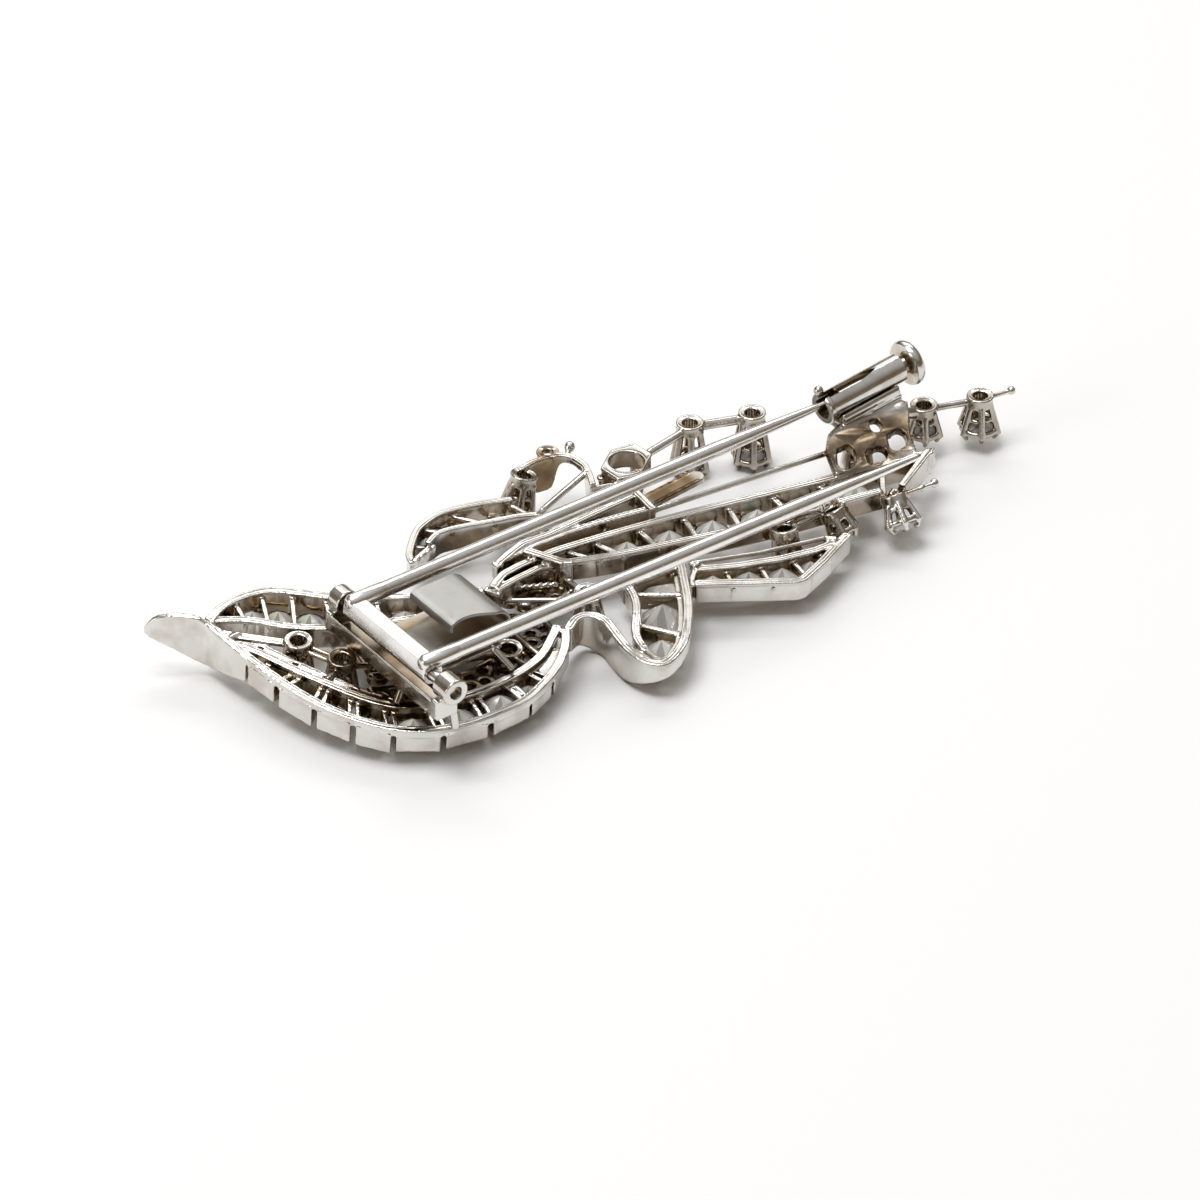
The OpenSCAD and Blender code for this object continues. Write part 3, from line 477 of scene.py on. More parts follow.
@dataclass(frozen=True)
class CutStone:
    """Clear cut stone with painted glints on each facet and faint coloured flashes painted in a few
    of them.
    """

    name: str = "cut_stone"
    ior: float = 2.3
    glint: float = 0.14
    clear: float = 0.08
    painted_fire_scale: float = 1700.0
    facet_scale: float = 9.0
    # Painted light: faint coloured flashes laid as colour in scattered cells
    painted_fire: tuple[tuple[float, tuple[float, float, float]], ...] = (
        (0.0, (0.98, 0.97, 0.95)),
        (0.93, (0.98, 0.97, 0.95)),
        (0.945, (0.55, 0.5, 1.0)),
        (0.955, (0.6, 0.9, 1.0)),
        (0.96, (0.75, 1.0, 0.7)),
        (1.0, (1.0, 0.93, 0.8)),
    )
    # Painted glints: the tone of each facet, lighter or darker by the direction that it faces
    facet_glints: tuple[tuple[float, tuple[float, float, float]], ...] = (
        (0.34, (0.46, 0.44, 0.41)),
        (0.40, (0.96, 0.95, 0.93)),
        (0.47, (0.70, 0.68, 0.66)),
        (0.53, (1.0, 1.0, 0.98)),
        (0.60, (0.78, 0.76, 0.74)),
        (0.66, (1.0, 1.0, 0.98)),
    )

    def build(self) -> bpy.types.Material:
        """Builds the material.

        Returns:
            The finished material.
        """
        g = Graph(self.name)
        out = g.add("ShaderNodeOutputMaterial")
        shader = g.add("ShaderNodeBsdfPrincipled")
        shader.inputs["Roughness"].default_value = 0.0
        shader.inputs["IOR"].default_value = self.ior
        shader.inputs["Metallic"].default_value = self.glint
        shader.inputs["Transmission Weight"].default_value = self.clear
        # The base colour is painted light: coloured flashes in scattered cells times a glint tone
        # for each facet
        where = g.add("ShaderNodeTexCoord")
        cells = g.add("ShaderNodeTexVoronoi")
        cells.inputs["Scale"].default_value = self.painted_fire_scale
        g.link(where.outputs["Object"], cells.inputs["Vector"])
        part = g.add("ShaderNodeSeparateColor")
        g.link(cells.outputs["Color"], part.inputs["Color"])
        turn = g.add("ShaderNodeTexNoise")
        turn.inputs["Scale"].default_value = self.facet_scale
        turn.inputs["Detail"].default_value = 0.0
        g.link(where.outputs["Normal"], turn.inputs["Vector"])
        painted_fire = g.ramp(part.outputs["Red"], self.painted_fire)
        facet = g.ramp(turn.outputs["Fac"], self.facet_glints)
        g.link(g.mix(None, painted_fire, facet, "MULTIPLY"), shader.inputs["Base Color"])
        g.link(shader.outputs["BSDF"], out.inputs["Surface"])
        return g.material


def piece_from(
    bm: bmesh.types.BMesh, name: str, material: bpy.types.Material, smooth: bool
) -> bpy.types.Object:
    """Makes an object at the origin from a bmesh.

    Args:
        bm: Mesh in metres, in the brooch's frame. It is freed.
        name: Name of the object.
        material: Its finish.
        smooth: Whether its faces are shaded smooth.

    Returns:
        The linked object.
    """
    bmesh.ops.recalc_face_normals(bm, faces=bm.faces)
    mesh = bpy.data.meshes.new(name)
    bm.to_mesh(mesh)
    bm.free()
    mesh.polygons.foreach_set("use_smooth", [smooth] * len(mesh.polygons))
    if smooth:
        mesh.set_sharp_from_angle(angle=SHARP)
    mesh.materials.append(material)
    obj = bpy.data.objects.new(name, mesh)
    bpy.context.scene.collection.objects.link(obj)
    return obj


def polished(obj: bpy.types.Object) -> bpy.types.Object:
    """Keeps a piece's large faces flat and shades only its small bevels round.

    Args:
        obj: The piece.

    Returns:
        The same piece.
    """
    even = obj.modifiers.new("even", "WEIGHTED_NORMAL")
    even.keep_sharp = True
    even.mode = "FACE_AREA_WITH_ANGLE"
    baked(obj)
    return obj


def baked(obj: bpy.types.Object) -> bpy.types.Mesh:
    """Turns a piece's modifiers into its mesh.

    Args:
        obj: The piece.

    Returns:
        Its new mesh.
    """
    bpy.context.view_layer.update()
    made = bpy.data.meshes.new_from_object(obj.evaluated_get(bpy.context.evaluated_depsgraph_get()))
    obj.modifiers.clear()
    obj.data = made
    return made


def drilled(obj: bpy.types.Object, openings: Sequence[Matrix], solver: str) -> None:
    """Cuts round holes through a closed piece.

    Args:
        obj: The piece.
        openings: Placement of each hole, of unit radius along z.
        solver: Blender's way to work out the cut.
    """
    drill = bmesh.new()
    for place in openings:
        bmesh.ops.create_cone(
            drill,
            cap_ends=True,
            segments=DRILL_SIDES,
            radius1=1,
            radius2=1,
            depth=DRILL_LONG,
            matrix=place,
        )
    tool = piece_from(drill, "drill", obj.data.materials[0], False)
    cut = obj.modifiers.new("openings", "BOOLEAN")
    cut.operation, cut.solver, cut.object = "DIFFERENCE", solver, tool
    baked(obj)
    bpy.data.objects.remove(tool)


def node_copy(nodes: Iterable[str]) -> bmesh.types.BMesh:
    """Merged copy of CAD nodes.

    Args:
        nodes: Names of the nodes.

    Returns:
        A bmesh in metres with its doubles merged.
    """
    bm = bmesh.new()
    for name in nodes:
        bm.from_mesh(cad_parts[name].data)
    bmesh.ops.remove_doubles(bm, verts=bm.verts, dist=MERGE)
    return bm


def islands(bm: bmesh.types.BMesh) -> list[list[bmesh.types.BMFace]]:
    """Splits a mesh into its loose parts.

    Args:
        bm: The mesh.

    Returns:
        The faces of each loose part.
    """
    seen: set[bmesh.types.BMFace] = set()
    parts = []
    for start in bm.faces:
        if start in seen:
            continue
        part, stack = [], [start]
        seen.add(start)
        while stack:
            face = stack.pop()
            part.append(face)
            for edge in face.edges:
                for other in edge.link_faces:
                    if other not in seen:
                        seen.add(other)
                        stack.append(other)
        parts.append(part)
    return parts


def grow(bm: bmesh.types.BMesh, sections: Sequence[Sequence[Vector]]) -> None:
    """Extrudes one face through a row of sections.

    Args:
        bm: Mesh that gets the closed solid.
        sections: Corners of each section, all in the same order.
    """
    face = bm.faces.new([bm.verts.new(corner) for corner in sections[0]])
    here = list(sections[0])
    for step, section in enumerate(sections[1:]):
        made = bmesh.ops.extrude_face_region(bm, geom=[face])["geom"]
        if step and face.is_valid:
            bm.faces.remove(face)
        face = next(part for part in made if isinstance(part, bmesh.types.BMFace))
        moves = [
            (v, min(range(len(here)), key=lambda i: (v.co - here[i]).length_squared))
            for v in face.verts
        ]
        for vert, i in moves:
            vert.co = section[i]
        here = list(section)


def lathe(
    bm: bmesh.types.BMesh,
    profile: Sequence[tuple[float, float]],
    place: Matrix,
    closed: bool = False,
) -> None:
    """Turns a profile round the z axis of a placement.

    Args:
        bm: Mesh that gets the turned solid.
        profile: Radius and height of each point.
        place: Where the axis goes.
        closed: Whether the profile closes on itself, as a ring's does.
    """
    turned = bmesh.new()
    verts = [turned.verts.new((radius, 0, height)) for radius, height in profile]
    pairs = list(zip(verts, verts[1:])) + ([(verts[-1], verts[0])] if closed else [])
    edges = [turned.edges.new(pair) for pair in pairs]
    bmesh.ops.spin(
        turned,
        geom=verts + edges,
        cent=(0, 0, 0),
        axis=(0, 0, 1),
        angle=math.tau,
        steps=TURN_STEPS,
        use_merge=True,
    )
    bmesh.ops.remove_doubles(turned, verts=turned.verts, dist=TINY)
    bmesh.ops.recalc_face_normals(turned, faces=turned.faces)
    bmesh.ops.transform(turned, matrix=place, verts=turned.verts)
    plan = bpy.data.meshes.new("turned")
    turned.to_mesh(plan)
    turned.free()
    bm.from_mesh(plan)
    bpy.data.meshes.remove(plan)


def ledge(bm: bmesh.types.BMesh, path: Sequence[Vector], width: float, high: float) -> None:
    """Adds a flat strip along a path.

    Args:
        bm: Mesh in millimetres.
        path: Middle of the strip's upper face.
        width: Width of the strip.
        high: Its height.
    """
    sections = []
    for i, point in enumerate(path):
        along = path[min(i + 1, len(path) - 1)] - path[max(i - 1, 0)]
        side = Vector((-along.y, along.x, 0)).normalized() * width / 2
        drop = Vector((0, 0, -high))
        sections.append([point + side, point - side, point - side + drop, point + side + drop])
    grow(bm, sections)


def rounded(inner: float, outer: float, low: float, high: float) -> list[tuple[float, float]]:
    """Profile of a ring with softened corners.

    Args:
        inner: Inner radius.
        outer: Outer radius.
        low: Height of the underside.
        high: Height of the top.

    Returns:
        Radius and height of each corner.
    """
    soft_share = 0.25
    soft = min(outer - inner, high - low) * soft_share
    return [
        (inner, low + soft), (inner + soft, low), (outer - soft, low), (outer, low + soft),
        (outer, high - soft), (outer - soft, high), (inner + soft, high), (inner, high - soft),
    ]


def rod(bm: bmesh.types.BMesh, start: Vector, end: Vector, radius: float, sides: int = 8) -> None:
    """Adds a round rod between two points.

    Args:
        bm: Mesh that gets the rod.
        start: Middle of one end.
        end: Middle of the other end.
        radius: Radius of the rod.
        sides: Number of its sides.
    """
    along = end - start
    turn = along.to_track_quat("Z", "Y").to_matrix().to_4x4()
    bmesh.ops.create_cone(
        bm,
        cap_ends=True,
        segments=sides,
        radius1=radius,
        radius2=radius,
        depth=along.length,
        matrix=Matrix.Translation((start + end) / 2) @ turn,
    )


def inside(x: float, y: float, outline: Sequence[Vector]) -> bool:
    """Whether a place lies inside an outline, seen from above.

    Args:
        x: The place's x.
        y: Its y.
        outline: Corners of the outline.

    Returns:
        True inside, False outside.
    """
    crossings = 0
    for a, b in zip(outline, [*outline[1:], outline[0]]):
        if (a.y > y) != (b.y > y) and x < a.x + (b.x - a.x) * (y - a.y) / (b.y - a.y):
            crossings += 1
    return crossings % 2 == 1


@dataclass(frozen=True)
class Seat:
    """Where one stone sits: its middle, its axis towards the table, and its size."""

    middle: Vector
    axis: Vector
    along: Vector
    length: float
    width: float
    oblong: bool

    def turn(self) -> Matrix:
        """Turn from a stone's own axes to this seat's."""
        side = (self.along - self.along.dot(self.axis) * self.axis).normalized()
        return Matrix((side, self.axis.cross(side), self.axis)).transposed()

    def matrix(self, growth: float) -> Matrix:
        """Placement of a unit stone on this seat.

        Args:
            growth: How much wider than the seat the stone is.

        Returns:
            The placement.
        """
        size = Matrix.Diagonal((self.length * growth, self.width * growth, self.width * growth))
        return Matrix.Translation(self.middle) @ (self.turn() @ size).to_4x4()


def pierced(
    bm: bmesh.types.BMesh,
    outline: Sequence[Vector],
    cups: Sequence[Seat],
    pitch: float = 1.35,
    hole: float = 0.38,
) -> None:
    """Adds a flat sheet pierced by rows of round holes, with a wire round its edge.

    Args:
        bm: Mesh in millimetres.
        outline: Corners of the sheet's upper face, all in one plane.
        cups: Seats of the stones that the sheet leaves free.
        pitch: Distance between the holes.
        hole: Their radius.
    """
    edge_r, thick, clear, ring_share = 0.3, 0.75, 1.05, 0.62
    for a, b in zip(outline, [*outline[1:], outline[0]]):
        rod(bm, a, b, edge_r)
    first, normal, outer = outline[0], geometry.normal(outline), pitch * ring_share
    x0, y0 = min(p.x for p in outline), min(p.y for p in outline)
    x1, y1 = max(p.x for p in outline), max(p.y for p in outline)
    row = pitch * math.sin(math.radians(60))
    for j in range(int((y1 - y0) / row) + 1):
        for i in range(int((x1 - x0) / pitch) + 1):
            x, y = x0 + (i + 0.5 * (j % 2)) * pitch, y0 + (j + 0.5) * row
            free = all(
                math.dist((x, y), seat.middle.xy / MM) > seat.width / MM / 2 + clear
                for seat in cups
            )
            if free and inside(x, y, outline):
                z = first.z - (normal.x * (x - first.x) + normal.y * (y - first.y)) / normal.z
                ring = [(hole, -thick), (outer, -thick), (outer, 0), (hole, 0)]
                lathe(bm, ring, Matrix.Translation((x, y, z)), closed=True)


def to_metres(bm: bmesh.types.BMesh) -> bmesh.types.BMesh:
    """Shrinks a mesh drawn in millimetres to metres."""
    bmesh.ops.scale(bm, vec=(MM,) * 3, verts=bm.verts)
    return bm


def points(
    table: Sequence[tuple[float, float]], top: float, fall: float = 0.0
) -> tuple[Vector, ...]:
    """Points of a table of x and y at a height.

    Args:
        table: Rows of x and y.
        top: Height of the first point.
        fall: How much the sheet falls for each millimetre away from the camera's side.

    Returns:
        The points.
    """
    x0, y0 = table[0]
    ax, ay = AWAY
    return tuple(Vector((x, y, top - fall * (ax * (x - x0) + ay * (y - y0)))) for x, y in table)


def bead_rims(bm: bmesh.types.BMesh, up: Vector, radius: float) -> int:
    """Lays a fine bead along every sharp upper rim, which gives each rail its double line.

    Args:
        bm: Members in millimetres.
        up: Direction that the rails' backs face.
        radius: Radius of the bead.

    Returns:
        Number of rims that got a bead.
    """
    shortest, level, upright, sunk = 0.12, 0.97, 0.3, 0.35
    rims = []
    for edge in bm.edges:
        if len(edge.link_faces) != 2 or edge.calc_length() < shortest:
            continue
        first, second = sorted((f.normal for f in edge.link_faces), key=lambda n: -n.dot(up))
        outside = edge.calc_face_angle_signed(0) > 0
        if first.dot(up) > level and abs(second.dot(up)) < upright and outside:
            sink = (first + second) * radius * sunk
            rims.append((edge.verts[0].co - sink, edge.verts[1].co - sink))
    for start, end in rims:
        rod(bm, start, end, radius, WIRE_SIDES)
    return len(rims)


def twist(bm: bmesh.types.BMesh, start: Vector, end: Vector, radius: float, turns: float) -> None:
    """Adds two fine wires twisted round each other.

    Args:
        bm: Mesh in millimetres.
        start: One end of the pair.
        end: The other end.
        radius: Radius of each wire.
        turns: Number of turns along the pair.
    """
    along = (end - start).normalized()
    side = along.cross(Vector((0, 0, 1))).normalized()
    over = side.cross(along)
    steps_per_turn = 10
    steps = int(turns * steps_per_turn)
    for phase in (0, math.pi):
        wire = []
        for k in range(steps + 1):
            a = phase + math.tau * turns * k / steps
            out = (side * math.cos(a) + over * math.sin(a)) * radius
            wire.append(start.lerp(end, k / steps) + out)
        for a, b in zip(wire, wire[1:]):
            rod(bm, a, b, radius, WIRE_SIDES)


@dataclass(frozen=True)
class Fused:
    """How soldered members melt together into one rounded skin."""

    voxel_mm: float = 0.085
    rounds: int = 3
    strength: float = 0.5
    triangles: int = 190000

    def skin(
        self,
        bm: bmesh.types.BMesh,
        name: str,
        material: bpy.types.Material,
        openings: Sequence[Matrix],
    ) -> bpy.types.Object:
        """Fuses a mesh of crossing members into one skin with soft edges.

        Args:
            bm: Closed members in millimetres. It is freed.
            name: Name of the piece.
            material: Its finish.
            openings: Placement of each round hole of unit radius that is cut through the skin.

        Returns:
            The fused piece.
        """
        obj = piece_from(bm, name, material, True)
        remesh = obj.modifiers.new("skin", "REMESH")
        remesh.mode = "VOXEL"
        remesh.voxel_size = self.voxel_mm
        remesh.use_smooth_shade = True
        if openings:
            drilled(obj, openings, "MANIFOLD")
        smooth = obj.modifiers.new("polish", "SMOOTH")
        smooth.factor = self.strength
        smooth.iterations = self.rounds
        made = baked(obj)
        count = sum(len(p.vertices) - 2 for p in made.polygons)
        if count > self.triangles:
            obj.modifiers.new("thin", "DECIMATE").ratio = self.triangles / count
            made = baked(obj)
        made.transform(Matrix.Scale(MM, 4))
        made.polygons.foreach_set("use_smooth", [True] * len(made.polygons))
        made.update()
        return obj


def seats_of(node: str) -> list[Seat]:
    """Finds the seat of each stone of a CAD node.

    Args:
        node: Name of the node.

    Returns:
        One seat for each loose stone.
    """
    bm = node_copy([node])
    bmesh.ops.dissolve_limit(bm, angle_limit=FLAT_STONE, verts=bm.verts, edges=bm.edges)
    rim_share = 0.97
    seats = []
    for part in islands(bm):
        table = max(part, key=lambda f: f.calc_area() * max(-f.normal.z, 0) ** 2)
        axis = table.normal.copy()
        verts = {v for f in part for v in f.verts}
        centre = table.calc_center_median()
        heights = {v: (v.co - centre).dot(axis) for v in verts}
        radius = {v: ((v.co - centre) - heights[v] * axis).length for v in verts}
        widest = max(radius.values())
        rim = [v for v in verts if radius[v] > rim_share * widest]
        level = sum(heights[v] for v in rim) / len(rim)
        corner = rim[0].co
        gaps = sorted((v.co - corner for v in rim[1:]), key=lambda gap: gap.length)
        oblong = len(rim) == 4
        if oblong:
            along, length, width = gaps[1].normalized(), gaps[1].length, gaps[0].length
        else:
            along, length, width = (corner - centre).normalized(), 2 * widest, 2 * widest
        seats.append(Seat(centre + level * axis, axis, along, length, width, oblong))
    bm.free()
    return seats


@dataclass(frozen=True)
class Brilliant:
    """Round brilliant cut of unit width, table up, girdle at z = 0. Angles are in degrees."""

    table: float = 0.56
    crown: float = 34.5
    pavilion: float = 41.0
    girdle: float = 0.02
    star: float = 23.0
    star_foot: float = 0.93
    upper_more: float = 5.5
    lower_more: float = 1.3
    blank_sides: int = 32
    blank_high: float = 1.4
    blank_drop: float = -0.1

    def cut(self) -> bmesh.types.BMesh:
        """Cuts the stone out of a cylinder, facet by facet.

        Returns:
            The faceted stone.
        """
        bm = bmesh.new()
        bmesh.ops.create_cone(
            bm,
            cap_ends=True,
            segments=self.blank_sides,
            radius1=0.5,
            radius2=0.5,
            depth=self.blank_high,
            matrix=Matrix.Translation((0, 0, self.blank_drop)),
        )
        up, low = self.girdle / 2, -self.girdle / 2
        top = (0.5 - self.table / 2) * math.tan(math.radians(self.crown)) + up
        self.facet(bm, Vector((0, 0, top)), Vector((0, 0, 1)))
        for k in range(8):
            self.slope(bm, k * 45, 0.5, up, self.crown)
            self.slope(bm, k * 45, 0.5, low, -self.pavilion)
            self.slope(bm, k * 45 + 22.5, self.table / 2 * self.star_foot, top, self.star)
        for k in range(16):
            self.slope(bm, k * 22.5 + 11.25, 0.5, up * 1.2, self.crown + self.upper_more)
            self.slope(bm, k * 22.5 + 11.25, 0.5, low * 1.2, -self.pavilion - self.lower_more)
        return bm

    def slope(
        self, bm: bmesh.types.BMesh, turn: float, radius: float, height: float, steep: float
    ) -> None:
        """Cuts one sloping facet.

        Args:
            bm: The stone.
            turn: Direction that the facet faces, in degrees.
            radius: Distance from the axis at which it starts.
            height: Height at which it starts.
            steep: Slope in degrees, below zero for the underside.
        """
        a, s = math.radians(turn), math.radians(abs(steep))
        sign = 1 if steep > 0 else -1
        out = Vector((math.cos(a), math.sin(a), 0))
        at = out * radius + Vector((0, 0, height))
        self.facet(bm, at, out * math.sin(s) + Vector((0, 0, sign * math.cos(s))))

    @staticmethod
    def facet(bm: bmesh.types.BMesh, at: Vector, normal: Vector) -> None:
        """Cuts away what lies beyond a plane and closes the cut.

        Args:
            bm: The stone.
            at: A point of the plane.
            normal: Direction in which the stone is cut away.
        """
        geom = bm.verts[:] + bm.edges[:] + bm.faces[:]
        cut = bmesh.ops.bisect_plane(
            bm, geom=geom, plane_co=at, plane_no=normal, clear_outer=True, dist=TINY
        )
        edges = [e for e in cut["geom_cut"] if isinstance(e, bmesh.types.BMEdge)]
        if edges:
            bmesh.ops.contextual_create(bm, geom=edges)


@dataclass(frozen=True)
class StepCut:
    """Oblong step cut of unit length and width, table up, girdle at z = 0."""

    crown: tuple[tuple[float, float], ...] = ((0.0, 42.0), (0.09, 28.0))
    pavilion: tuple[tuple[float, float], ...] = ((0.0, 55.0), (0.13, 46.0), (0.26, 38.0))
    table: float = 0.17

    def cut(self) -> bmesh.types.BMesh:
        """Cuts the stone out of a block, step by step.

        Returns:
            The faceted stone.
        """
        bm = bmesh.new()
        bmesh.ops.create_cube(bm, size=1)
        Brilliant.facet(bm, Vector((0, 0, self.table)), Vector((0, 0, 1)))
        for sign, steps in ((1, self.crown), (-1, self.pavilion)):
            for inset, steep in steps:
                for k in range(4):
                    a, s = math.radians(k * 90), math.radians(steep)
                    out = Vector((math.cos(a), math.sin(a), 0))
                    at = out * (0.5 - inset) + Vector((0, 0, sign * inset))
                    Brilliant.facet(bm, at, out * math.sin(s) + Vector((0, 0, sign * math.cos(s))))
        return bm


@dataclass
class StoneField:
    """All the stones of one CAD node, cut and set."""

    node: str
    finish: bpy.types.Material
    growth: float = SNUG

    def build(self) -> bpy.types.Object:
        """Cuts a stone for each seat of the node.

        Returns:
            The piece that stands for the node.
        """
        bm = bmesh.new()
        for seat in seats_of(self.node):
            unit = (StepCut() if seat.oblong else Brilliant()).cut()
            bmesh.ops.transform(unit, matrix=seat.matrix(self.growth), verts=unit.verts)
            plan = bpy.data.meshes.new("stone")
            unit.to_mesh(plan)
            unit.free()
            bm.from_mesh(plan)
            bpy.data.meshes.remove(plan)
        obj = piece_from(bm, self.node.replace("stone", "gem"), self.finish, False)
        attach(obj, Body.BROOCH.value)
        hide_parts(self.node)
        return obj


@dataclass
class Soldered:
    """One soldered section of the frame, its members melted together. Sizes are in millimetres."""

    node: str
    finish: bpy.types.Material
    up: Vector = field(default_factory=lambda: Vector((0, 0, 1)))
    fused: Fused = field(default_factory=Fused)
    bead: float = 0.14
    fields: tuple[str, ...] = ()
    cups: tuple[str, ...] = ()
    ropes: tuple[tuple[Vector, Vector], ...] = ()
    webs: tuple[tuple[Vector, ...], ...] = ()
    ledges: tuple[tuple[Vector, ...], ...] = ()
    openings: tuple[Matrix, ...] = ()
    fillets: tuple[tuple[tuple[Vector, ...], ...], ...] = ()
    rope_r: float = 0.13
    rope_turns: float = 4
    ledge_wide: float = 0.42
    ledge_high: float = 0.4
    collar_rim: float = 0.5
    collar_low: float = -0.12
    collar_high: float = 0.16
    ring_in: float = 0.04
    ring_out: float = 0.36
    ring_low: float = -0.55
    ring_high: float = -0.05
    foot_share: float = 0.62
    foot_wide: float = 0.4
    foot_low: float = -1.5
    foot_high: float = -1.15

    def build(self) -> bpy.types.Object:
        """Fuses the section.

        Returns:
            The piece that stands for the node.
        """
        bm = node_copy([self.node])
        bmesh.ops.scale(bm, vec=(1 / MM,) * 3, verts=bm.verts)
        bmesh.ops.dissolve_limit(bm, angle_limit=FLAT_METAL, verts=bm.verts, edges=bm.edges)
        rims = bead_rims(bm, self.up, self.bead) if self.bead else 0
        log.info("%s: %d beaded rims", self.node, rims)
        for stones in self.fields:
            for seat in seats_of(stones):
                if not seat.oblong:
                    self.collar(bm, seat)
        cups = [seat for stones in self.cups for seat in seats_of(stones)]
        for seat in cups:
            self.basket(bm, seat)
        for start, end in self.ropes:
            twist(bm, start, end, self.rope_r, self.rope_turns)
        for path in self.ledges:
            ledge(bm, path, self.ledge_wide, self.ledge_high)
        for web in self.webs:
            pierced(bm, web, cups)
        for sections in self.fillets:
            grow(bm, sections)
        obj = self.fused.skin(bm, self.node + "_skin", self.finish, self.openings)
        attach(obj, Body.BROOCH.value)
        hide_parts(self.node)
        return obj

    def collar(self, bm: bmesh.types.BMesh, seat: Seat) -> None:
        """Adds the plate with its round opening that a channel's stone sits in.

        Args:
            bm: The section's members.
            seat: The stone's seat.
        """
        inner = seat.width / MM * 0.5
        outer = inner + self.collar_rim
        low, high = self.collar_low, self.collar_high
        place = Matrix.Translation(seat.middle / MM) @ seat.turn().to_4x4()
        lathe(bm, [(inner, low), (outer, low), (outer, high), (inner, high)], place, closed=True)

    def basket(self, bm: bmesh.types.BMesh, seat: Seat) -> None:
        """Adds the rings that join a collet's claws below the stone.

        Args:
            bm: The section's members.
            seat: The stone's seat.
        """
        stone_r = seat.width / MM * 0.5
        foot_r = stone_r * self.foot_share
        place = Matrix.Translation(seat.middle / MM) @ seat.turn().to_4x4()
        inner, outer = stone_r - self.ring_in, stone_r + self.ring_out
        upper = rounded(inner, outer, self.ring_low, self.ring_high)
        lathe(bm, upper, place, closed=True)
        lower = rounded(foot_r, foot_r + self.foot_wide, self.foot_low, self.foot_high)
        lathe(bm, lower, place, closed=True)


@dataclass
class PinPair:
    """Both pin stems on their crossbar, in millimetres from the axle."""

    finish: bpy.types.Material
    axle: Vector = field(default_factory=lambda: Vector((-24.7, -3.2, 7.2)))
    fall: float = 1.08
    rise: float = 0.8
    pitch: float = 9.5
    stem_r: float = 0.625
    solder: float = 0.05
    point: float = 12.0
    stems: tuple[tuple[float, float, float], ...] = ((1, 0.9, 46.4), (-1, 0.3, 46.9))
    bar_half: float = 5.275
    bar_foot: float = 0.9
    bar_side: float = 0.675
    bar_top: float = 1.1
    bar_corner: float = 0.2
    bar_chamfer: float = 0.06
    bar_end: float = 0.14
    end_share: float = 0.93
    bore: float = 0.55
    bore_clear: float = 0.02
    bore_long: float = 4

    def outline(self, share: float) -> list[tuple[float, float]]:
        """Outline of the crossbar's section, with the axle's bore.

        Args:
            share: Share of the full size.

        Returns:
            Corners round the outside and back round the bore.
        """
        foot, side, top = self.bar_foot * share, self.bar_side * share, self.bar_top * share
        corner, chamfer = self.bar_corner, self.bar_chamfer
        under = [math.radians(k * 20 + 1) for k in range(6)]
        outer = [(foot * math.sin(a), -foot * math.cos(a)) for a in under]
        outer += [(side, top - corner), (side - chamfer, top - chamfer), (side - corner, top)]
        outer += [(-x, z) for x, z in reversed(outer)]
        turns = [math.radians(2 + k * 356 / 23) for k in range(24)]
        inner = [(self.bore * math.sin(a), -self.bore * math.cos(a)) for a in turns]
        return outer + list(reversed(inner))

    def build(self) -> bpy.types.Object:
        """Builds the crossbar and turns both stems.

        Returns:
            The piece that stands for the pin stems.
        """
        bm = bmesh.new()
        half, full = self.bar_half, self.bar_half - self.bar_end
        ends = [(-half, self.end_share), (-full, 1), (full, 1), (half, self.end_share)]
        grow(bm, [[Vector((x, y, z)) for x, z in self.outline(share)] for y, share in ends])
        pair = bmesh.new()
        for side, turn, long in self.stems:
            root = Matrix.Translation((0, side * self.pitch / 2, self.rise))
            place = root @ Matrix.Rotation(math.radians(turn), 4, "Z")
            lathe(pair, self.stem(long), place @ Matrix.Rotation(math.radians(90), 4, "Y"))
        roots = piece_from(pair, "stems", self.finish, True)
        bore = self.bore + self.bore_clear
        size = Matrix.Diagonal((bore, bore, self.bore_long, 1))
        drilled(roots, (Matrix.Rotation(math.radians(90), 4, "X") @ size,), "EXACT")
        bm.from_mesh(roots.data)
        bpy.data.objects.remove(roots)
        whole = Matrix.Translation(self.axle) @ Matrix.Rotation(math.radians(self.fall), 4, "Y")
        bmesh.ops.transform(bm, matrix=whole, verts=bm.verts)
        obj = polished(piece_from(to_metres(bm), "pins_polished", self.finish, True))
        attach(obj, Body.PINS.value)
        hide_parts("pin_stems")
        return obj

    def stem(self, long: float) -> list[tuple[float, float]]:
        """Profile of a stem: bevelled root, solder collar, straight shank and long point.

        Args:
            long: Length of the stem.

        Returns:
            Radius and height of each corner.
        """
        r, collar, point = self.stem_r, self.stem_r + self.solder, self.point
        return [
            (0, -0.8),
            (r - 0.28, -0.8),
            (r - 0.12, -0.7),
            (collar, -0.42),
            (collar, 2.5),
            (r, 2.66),
            (r - 0.01, long * 0.25),
            (r, long * 0.5),
            (r, long - point),
            (r * 0.86, long - point * 0.72),
            (r * 0.66, long - point * 0.4),
            (0.25, long - 0.5),
            (0.19, long - 0.12),
            (0.1, long - 0.02),
            (0, long),
        ]


